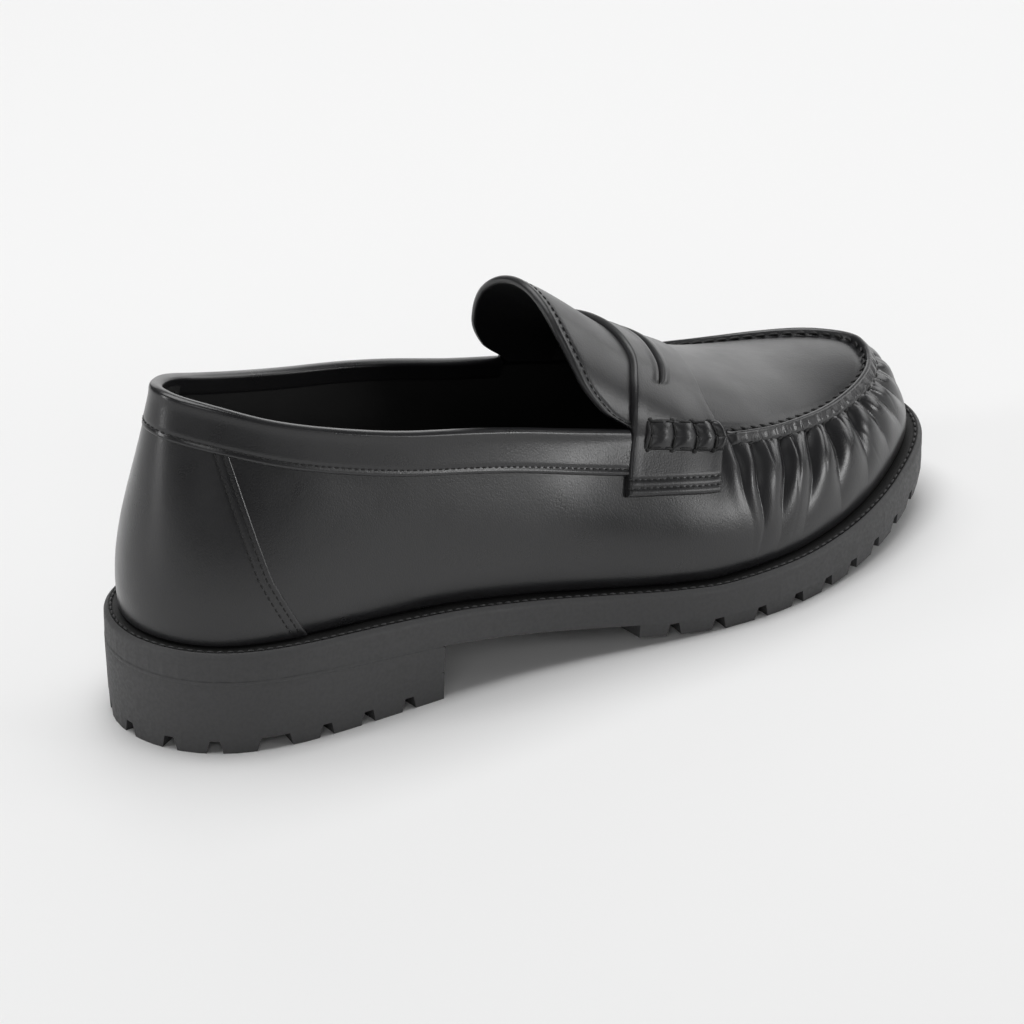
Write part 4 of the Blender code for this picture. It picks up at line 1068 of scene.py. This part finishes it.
def roll_piece(name, end):
    """The roll over one seam with its ties, edge stitches and dark thread beads of painted shade at the tie
    holes; end 0 is the outer side.
    """
    width_parts = np.linspace(roll_first, roll_last, 150)
    heights = np.linspace(-1.0, 1.0, 44)
    points = np.empty((len(heights), len(width_parts), 3))
    outs = np.empty_like(points)
    for column, width_share in enumerate(width_parts):
        line, out, _, mark = strap_line(width_share)
        line = smooth_along(line, 30)
        out = unit(smooth_along(out, 30))
        lengths = run_lengths(line)
        middle = mark[0] if end == 0 else mark[1]
        wanted = middle + heights * roll_half_height + (-0.0002 if end == 0 else 0.0002)
        points[:, column] = sample_along(line, lengths, wanted)
        outs[:, column] = sample_along(out, lengths, wanted)
    outs = unit(outs)
    tie_marks = np.array((0.06,) + ROLL_TIES + (1.04,))
    tie_share = np.interp(width_parts, tie_marks, np.arange(len(tie_marks)))
    pillow = 0.30 + 0.70 * np.abs(np.sin(math.pi * tie_share)) ** 0.75
    ends = np.minimum(width_parts - roll_first, roll_last - width_parts) / 0.05
    pillow = pillow * np.sqrt(np.clip(1 - (1 - np.clip(ends, 0.0, 1.0)) ** 2, 0.0, 1.0))
    round_section = np.sqrt(np.maximum(0.0, 1.0 - np.abs(heights) ** 2.6))
    swell = roll_raise * pillow[None, :] * round_section[:, None]
    height = part_gap + strap_raise * 0.85 + swell - roll_sink
    lifted = points + outs * height[..., None]
    add_sheet(name, lifted, strap_calf, flip=end != 0)
    tie_columns = [int(np.argmin(np.abs(width_parts - tie))) for tie in ROLL_TIES]
    places = []
    tangents = []
    normals = []
    for column in tie_columns:
        for low, high in ((4, 20), (22, 40)):
            places.append((lifted[low, column] + lifted[high, column]) / 2
                          + outs[(low + high) // 2, column] * 0.0006)
            tangents.append(lifted[high, column] - lifted[low, column])
            normals.append(outs[(low + high) // 2, column])
    ties, tie_faces = stitch_solids(places, tangents, normals, length=0.0040, radius=0.00042)
    add_piece(name + "_ties", ties, tie_faces, thread_and_hole_shade)
    # Small dark beads of thread at both ends of each tie, on the edges of the roll: painted shade standing
    # for the stitch holes.
    places = []
    for column in tie_columns:
        places.extend([lifted[1, column], lifted[-2, column]])
    ups = [outs[22, 75]] * len(places)
    along_strap = [lifted[22, 90] - lifted[22, 60]] * len(places)
    knots, hole_shade_bead_faces = stitch_solids(places, along_strap, ups, length=0.0017, radius=0.00075)
    add_piece(name + "_hole_shade_beads", knots, hole_shade_bead_faces, thread_and_hole_shade)
    for edge_name, row in (("low", 3), ("high", -4)):
        stitch_row("%s_%s_stitches" % (name, edge_name), lifted[row][4:-4], outs[row][4:-4],
                   pitch=0.0058, length=0.0046, radius=0.00036)


roll_piece("outer_roll", 0)
roll_piece("inner_roll", 1)

# %% [markdown]
# The apron seam stands up: the wall's edge is turned up against the apron's edge and the two are sewn
# through. On the wall side it shows as a sloping band about three millimetres high, finely wrinkled, with
# a dark stitch at its foot every four millimetres; its top is a thin rounded lip; on the apron side a
# second row of longer, slanted stitches lies in the crease, like a rope.

# %% The raised apron seam
seam_pitch = 0.0042
# distance down the wall or in over the apron, height above it, share of the wrinkles
WALL_SIDE = (
    (0.0037, -0.0003, 0.0),
    (0.0034, 0.0003, 0.2),
    (0.0031, 0.0008, 0.6),
    (0.0026, 0.0012, 1.0),
    (0.0020, 0.0014, 1.0),
    (0.0013, 0.0016, 1.0),
    (0.0007, 0.00175, 0.8),
    (0.0003, 0.0019, 0.4),
)
APRON_SIDE = (
    (0.0001, 0.0021, 0.0),
    (0.0004, 0.0021, 0.0),
    (0.0007, 0.0019, 0.0),
    (0.0009, 0.0015, 0.0),
    (0.0011, 0.0009, 0.0),
    (0.0014, 0.0003, 0.0),
    (0.0017, -0.0003, 0.0),
)
ridge_runs = np.linspace(seam_first, seam_last, 1500)
ridge_top, ridge_wall_out = wall(ridge_runs, np.ones(len(ridge_runs)))
ridge_low, _ = wall(ridge_runs, np.full(len(ridge_runs), 0.90))
ridge_down = unit(ridge_low - ridge_top)
ridge_along = unit(np.gradient(ridge_top, axis=0))
wall_side = unit(np.cross(ridge_along, ridge_down))
wall_side = wall_side * np.sign(np.sum(wall_side * ridge_wall_out, 1))[:, None]
seam_stations = np.linspace(8, last_row, 400)
outer_station = np.interp(ridge_runs, run_at(seam_stations, -1), seam_stations)
inner_station = np.interp(ridge_runs, run_at(seam_stations, 1)[::-1], seam_stations[::-1])
is_outer = ridge_runs <= last_knots[last_row]
ridge_station = np.where(is_outer, outer_station, inner_station)
near_station = np.minimum(ridge_station, last_row - 0.33)
near_turn = np.where(is_outer, 15.0, 165.0)
toe_share = soft_step(ridge_station, last_row - 1.0, last_row)
near_turn = near_turn + (90.0 - near_turn) * toe_share
inner_point, _ = crown(near_station, near_turn)
inward = inner_point - ridge_top
inward = inward - ridge_along * np.sum(inward * ridge_along, 1)[:, None]
inward = unit(smooth_along(unit(inward), 40))
apron_side = unit(np.cross(ridge_along, inward))
apron_side = apron_side * np.sign(apron_side[:, 2:3])
corner = unit(wall_side + apron_side)
ridge_lengths = run_lengths(ridge_top)
ridge_phase = ridge_lengths / seam_pitch
pinch = np.abs(np.sin(math.pi * ridge_phase)) ** 0.6
end_fade = soft_step(np.minimum(ridge_lengths, ridge_lengths[-1] - ridge_lengths), 0.0, 0.003)
wrinkle = (0.7 * np.sin(ridge_lengths * 3300.0 + 2.2 * np.sin(ridge_lengths * 620.0))
           + 0.6 * np.sin(ridge_lengths * 1900.0 + 2.6 * np.sin(ridge_lengths * 390.0)))
ridge_grid = []
for down, height, fine in WALL_SIDE:
    high = height - 0.00045 * (1 - pinch) * (1.0 - abs(down - 0.0030) / 0.003) + 0.00008 * wrinkle * fine
    blend = soft_step(down, 0.0016, 0.0)
    away = unit(wall_side * (1 - blend) + corner * blend)
    ridge_grid.append(ridge_top + ridge_down * down + away * (high * end_fade)[:, None])
for inside, height, _ in APRON_SIDE:
    high = height - 0.0002 * (1 - pinch) * soft_step(inside, 0.0006, 0.0012)
    blend = soft_step(inside, 0.0010, 0.0)
    away = unit(apron_side * (1 - blend) + corner * blend)
    ridge_grid.append(ridge_top + inward * inside + away * (high * end_fade)[:, None])
add_sheet("seam_ridge", np.stack(ridge_grid), calf, ("apron_seam",), flip=True)
wall_stitches = ridge_top + ridge_down * 0.0033 + wall_side * 0.00042
apron_stitches = ridge_top + inward * 0.0014 + apron_side * 0.00045
apron_stitch_side = unit(apron_side - inward * 0.4)
stitch_row("seam_stitches_wall", wall_stitches[12:-12], wall_side[12:-12],
           pitch=seam_pitch, length=0.0025, radius=0.00042, slant=0.25)
stitch_row("seam_stitches_apron", apron_stitches[12:-12], apron_stitch_side[12:-12],
           pitch=seam_pitch, length=0.0040, radius=0.00048, slant=-0.35)

# %% [markdown]
# The welt is a flat black strip stitched to the sole all the way round, and it lies in the shadow of the
# upper; its colour is darker than the calf's, partly its own black and partly painted shade of that shadow.
# Outside the stitches the rubber of the sole comes up as a rim: a lighter line that follows the whole edge,
# and whose outer face runs straight down into the side of the sole.

# %% The welt, its stitches and the rubber rim
skin_proud = 0.00004
welt_runs = np.linspace(0.0, last_knots[-1], 720, endpoint=False)
# share across from the upper to the edge, height above the welt's top
WELT_SECTION = (
    (-0.30, -0.0002), (0.10, -0.0001), (0.40, -0.0001), (0.52, -0.0001), (0.58, -0.0004),
    (0.66, -0.0004), (0.72, -0.0002), (0.82, -0.0005),
)
RIM_SECTION = (
    (0.735, -0.0008), (0.740, -0.0002), (0.755, 0.0), (0.79, 0.0), (0.82, -0.0001), (0.87, -0.0004),
    (0.93, -0.0008), (0.98, -0.0012), (1.00, -0.0016), (1.00, -0.0024), (1.00, -0.0033), (1.00, -0.0042),
)
welt_values, _, _, _ = last_ring(welt_runs)
full_reach = welt_values[:, 10:11] * welt_reach


def ring_around(section, proud=0.0):
    """Rows of points round the shoe from a section between the upper and the sole's edge."""
    rows = [outline(welt_runs, full_reach * across + proud, lift) + to_frame for across, lift in section]
    return np.stack(rows)


add_sheet("welt_strip", ring_around(WELT_SECTION), welt_black_and_painted_shade, ("welt",), around=True,
          flip=True)
add_sheet("sole_rim", ring_around(RIM_SECTION, skin_proud), sole_rubber, ("welt",),
          around=True, flip=True)
welt_line = outline(welt_runs, full_reach * 0.62, -0.0001) + to_frame
welt_up = np.tile(np.array([0.0, 0.0, 1.0]), (len(welt_runs), 1))
stitch_row("welt_stitches", welt_line, welt_up, pitch=0.0030, length=0.0022, radius=0.00036,
           thread=waxed_thread)

# %% [markdown]
# The sole, heel block and top piece are hard rubber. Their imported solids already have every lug, so they
# stay as they are and only get a small soft edge, as moulded rubber has. The insole board, which hardly
# shows, takes the finish of the lining.

# %% Rubber sole and heel
for node_name, width in (("outsole", 0.0011), ("heel_block", 0.0005), ("heel_top_piece", 0.0011)):
    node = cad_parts[node_name]
    node.data.materials.clear()
    node.data.materials.append(sole_rubber)
    bevel = node.modifiers.new("soft edge", "BEVEL")
    bevel.width = width
    bevel.segments = 3
    bevel.limit_method = "ANGLE"
    bevel.angle_limit = math.radians(40)
    bevel.harden_normals = False
    print(node_name, "soft edge:", width * 1000, "mm")
insole_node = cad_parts["insole"]
insole_node.data.materials.clear()
insole_node.data.materials.append(lining_leather)

# %% [markdown]
# The sock lining is the thin leather sheet that the foot rests on, glued over the insole. It is a flat
# sheet between the two sides of the foot line, drawn in by the thickness of the wall, with a rolled edge.

# %% The sock lining
sock_stations = 0.06 + (last_row - 0.12) * (1 - np.cos(np.linspace(0.0, math.pi, 160))) / 2
sock_inset = upper_wall + part_gap * 1.8 + 0.0002
sock_level = 2 * part_gap + upper_wall + insole_thickness + 0.00015
sock_outer = outline(run_at(sock_stations, -1), -sock_inset, sock_level)
sock_inner = outline(run_at(sock_stations, 1), -sock_inset, sock_level)
sock_parts = (1 - np.cos(np.linspace(0.0, math.pi, 60))) / 2
sock_grid = sock_outer[None] + (sock_inner - sock_outer)[None] * sock_parts[:, None, None] + to_frame
sock_width = np.linalg.norm(sock_inner - sock_outer, axis=1)
sock_edge = np.minimum(sock_parts, 1 - sock_parts)[:, None] * sock_width[None, :]
sock_grid[..., 2] += edge_roll(sock_edge, 0.0009, 0.0010)
add_sheet("sock_lining", sock_grid, sock_leather)

# %% [markdown]
# On the real shoe the heel is moulded in one with the sole. A thin skin of the same rubber therefore runs
# over the joints at the heel's side, from one end of the breast round the back to the other, and keeps one
# faint line where heel and sole meet.

# %% The skin over the heel's joints
heel_breast_place = last_length * 0.2955
outsole_thickness = 0.007
top_piece_thickness = 0.009
joint_depth = 0.00012
joint_width = 0.00028
heel_stations = np.linspace(1.5, 7.0, 2000)
heel_ends = []
for side in (-1, 1):
    edge = outline(run_at(heel_stations, side), None, 0.0)[:, 0]
    heel_ends.append(float(np.interp(heel_breast_place - 0.0007, edge, heel_stations)))
heel_parts = np.linspace(-1.0, 1.0, 300)
heel_sides = np.where(heel_parts < 0, -1, 1)
heel_reaches = np.where(heel_parts < 0, heel_ends[0], heel_ends[1])
heel_runs = run_at(np.abs(heel_parts) * heel_reaches, heel_sides)
under_sole = -welt_thickness - part_gap - outsole_thickness - part_gap
skin_low = top_piece_thickness - 0.0018
heel_rows = []
for part in np.concatenate([np.linspace(0.0, 1.0, 12), 1.0 + np.linspace(0.008, 0.09, 12)]):
    line = outline(heel_runs, None, 0.0, 0.0007 * max(0.0, 1.0 - part) - skin_proud)
    seam_level = welt_level(line[:, 0]) + under_sole
    line[:, 2] = skin_low + (seam_level - skin_low) * part
    away = unit(outline(heel_runs, None, 0.0, -0.001) - outline(heel_runs, None, 0.0))
    joint = np.exp(-(((line[:, 2] - seam_level - 0.00015) / joint_width) ** 2))
    heel_rows.append(line - away * (joint_depth * joint)[:, None] + to_frame)
add_sheet("heel_side", np.stack(heel_rows), sole_rubber)

# %% [markdown]
# A pale seamless floor and large soft lamps, as for a catalogue picture. The light from above and behind
# whitens the apron and the rim of the collar, and a tall lamp on the left draws the line down the heel.
# The lamp on the right lights strap and apron, and a low one beside it puts a highlight on each lobe.

# %% Floor and light
floor_grey = 0.825
room_strength = 0.10
# name, place, aim, width and height, power in watts
LAMPS = (
    ("top_lamp", (0.0, 0.30, 1.9), (0, 0, 0.05), (1.7, 1.6), 34),
    ("back_lamp", (1.55, 1.75, 0.72), (0.0, 0, 0.1), (2.6, 1.35), 15),
    ("left_lamp", (-1.9, 0.50, 0.55), (-0.1, 0, 0.06), (0.35, 1.0), 10),
    ("right_lamp", (1.85, -0.18, 0.70), (0.05, 0, 0.05), (1.45, 0.75), 8),
    ("front_lamp", (-1.45, -1.65, 1.15), (0.0, 0, 0.05), (1.2, 0.8), 6),
    ("low_lamp", (1.48, -1.78, 0.36), (0.05, 0, 0.05), (0.9, 0.36), 11),
)
floor_mesh = bpy.data.meshes.new("pale_floor")
floor_mesh.from_pydata([(-6, -6, 0), (6, -6, 0), (6, 6, 0), (-6, 6, 0)], [], [(0, 1, 2, 3)])
floor = bpy.data.objects.new("pale_floor", floor_mesh)
bpy.context.scene.collection.objects.link(floor)
floor_finish, floor_tree, floor_shader = new_finish("floor_paint", (floor_grey, floor_grey, floor_grey), 0.85)
floor_shader.inputs["Specular IOR Level"].default_value = 0.1
floor_mesh.materials.append(floor_finish)

world = bpy.data.worlds.new("soft_room")
world.use_nodes = True
room = world.node_tree.nodes["Background"]
room.inputs["Color"].default_value = (1.0, 1.0, 1.0, 1.0)
room.inputs["Strength"].default_value = room_strength
bpy.context.scene.world = world

for name, place, aim, (width, height), power in LAMPS:
    light = bpy.data.lights.new(name, "AREA")
    light.shape = "RECTANGLE"
    light.size = width
    light.size_y = height
    light.energy = power
    lamp = bpy.data.objects.new(name, light)
    bpy.context.scene.collection.objects.link(lamp)
    lamp.location = place
    towards = np.array(aim, float) - np.array(place, float)
    lamp.rotation_euler = Vector(towards).to_track_quat("-Z", "Y").to_euler()
print("lamps:", [row[0] for row in LAMPS])

# %% [markdown]
# The camera stands about three metres away with a long lens, as in the photograph, so that the shoe looks
# almost without perspective. It is turned to centre the one shoe.

# %% Camera
photo_turn = math.radians(35.53)
photo_rise = math.radians(25.73)
photo_roll = math.radians(0.845)
photo_distance = 2.9858
photo_lens = 344.8
shoe_right = 0.0325
shoe_below = 0.0089
aim_point = np.array([0.11566, 0.02360, 0.03905]) + to_frame
right = np.array([math.cos(photo_turn), -math.sin(photo_turn), 0.0])
above = np.array([math.sin(photo_turn) * math.sin(photo_rise), math.cos(photo_turn) * math.sin(photo_rise),
                  math.cos(photo_rise)])
back = np.array([-math.sin(photo_turn) * math.cos(photo_rise), -math.cos(photo_turn) * math.cos(photo_rise),
                 math.sin(photo_rise)])
rolled_right = right * math.cos(photo_roll) - above * math.sin(photo_roll)
rolled_above = right * math.sin(photo_roll) + above * math.cos(photo_roll)
stand = aim_point + back * photo_distance
shoe_middle = aim_point + rolled_right * shoe_right - rolled_above * shoe_below
back = unit(stand - shoe_middle)
rolled_right = unit(rolled_right - back * float(np.dot(rolled_right, back)))
rolled_above = np.cross(back, rolled_right)
camera_data = bpy.data.cameras.new("photo_camera")
camera_data.sensor_width = 36.0
camera_data.lens = photo_lens
camera_data.clip_end = 50.0
camera = bpy.data.objects.new("photo_camera", camera_data)
bpy.context.scene.collection.objects.link(camera)
camera.matrix_world = Matrix((
    (rolled_right[0], rolled_above[0], back[0], stand[0]),
    (rolled_right[1], rolled_above[1], back[1], stand[1]),
    (rolled_right[2], rolled_above[2], back[2], stand[2]),
    (0.0, 0.0, 0.0, 1.0),
))
bpy.context.scene.camera = camera
bpy.context.scene.view_settings.view_transform = "Standard"
print("camera stands", round(float(np.linalg.norm(stand - shoe_middle)), 2), "m from the shoe")

# %% [markdown]
# Last, the number of finished pieces is printed.

# %% Count the finished pieces
print(len(finished_pieces), "finished pieces over the packed solids")
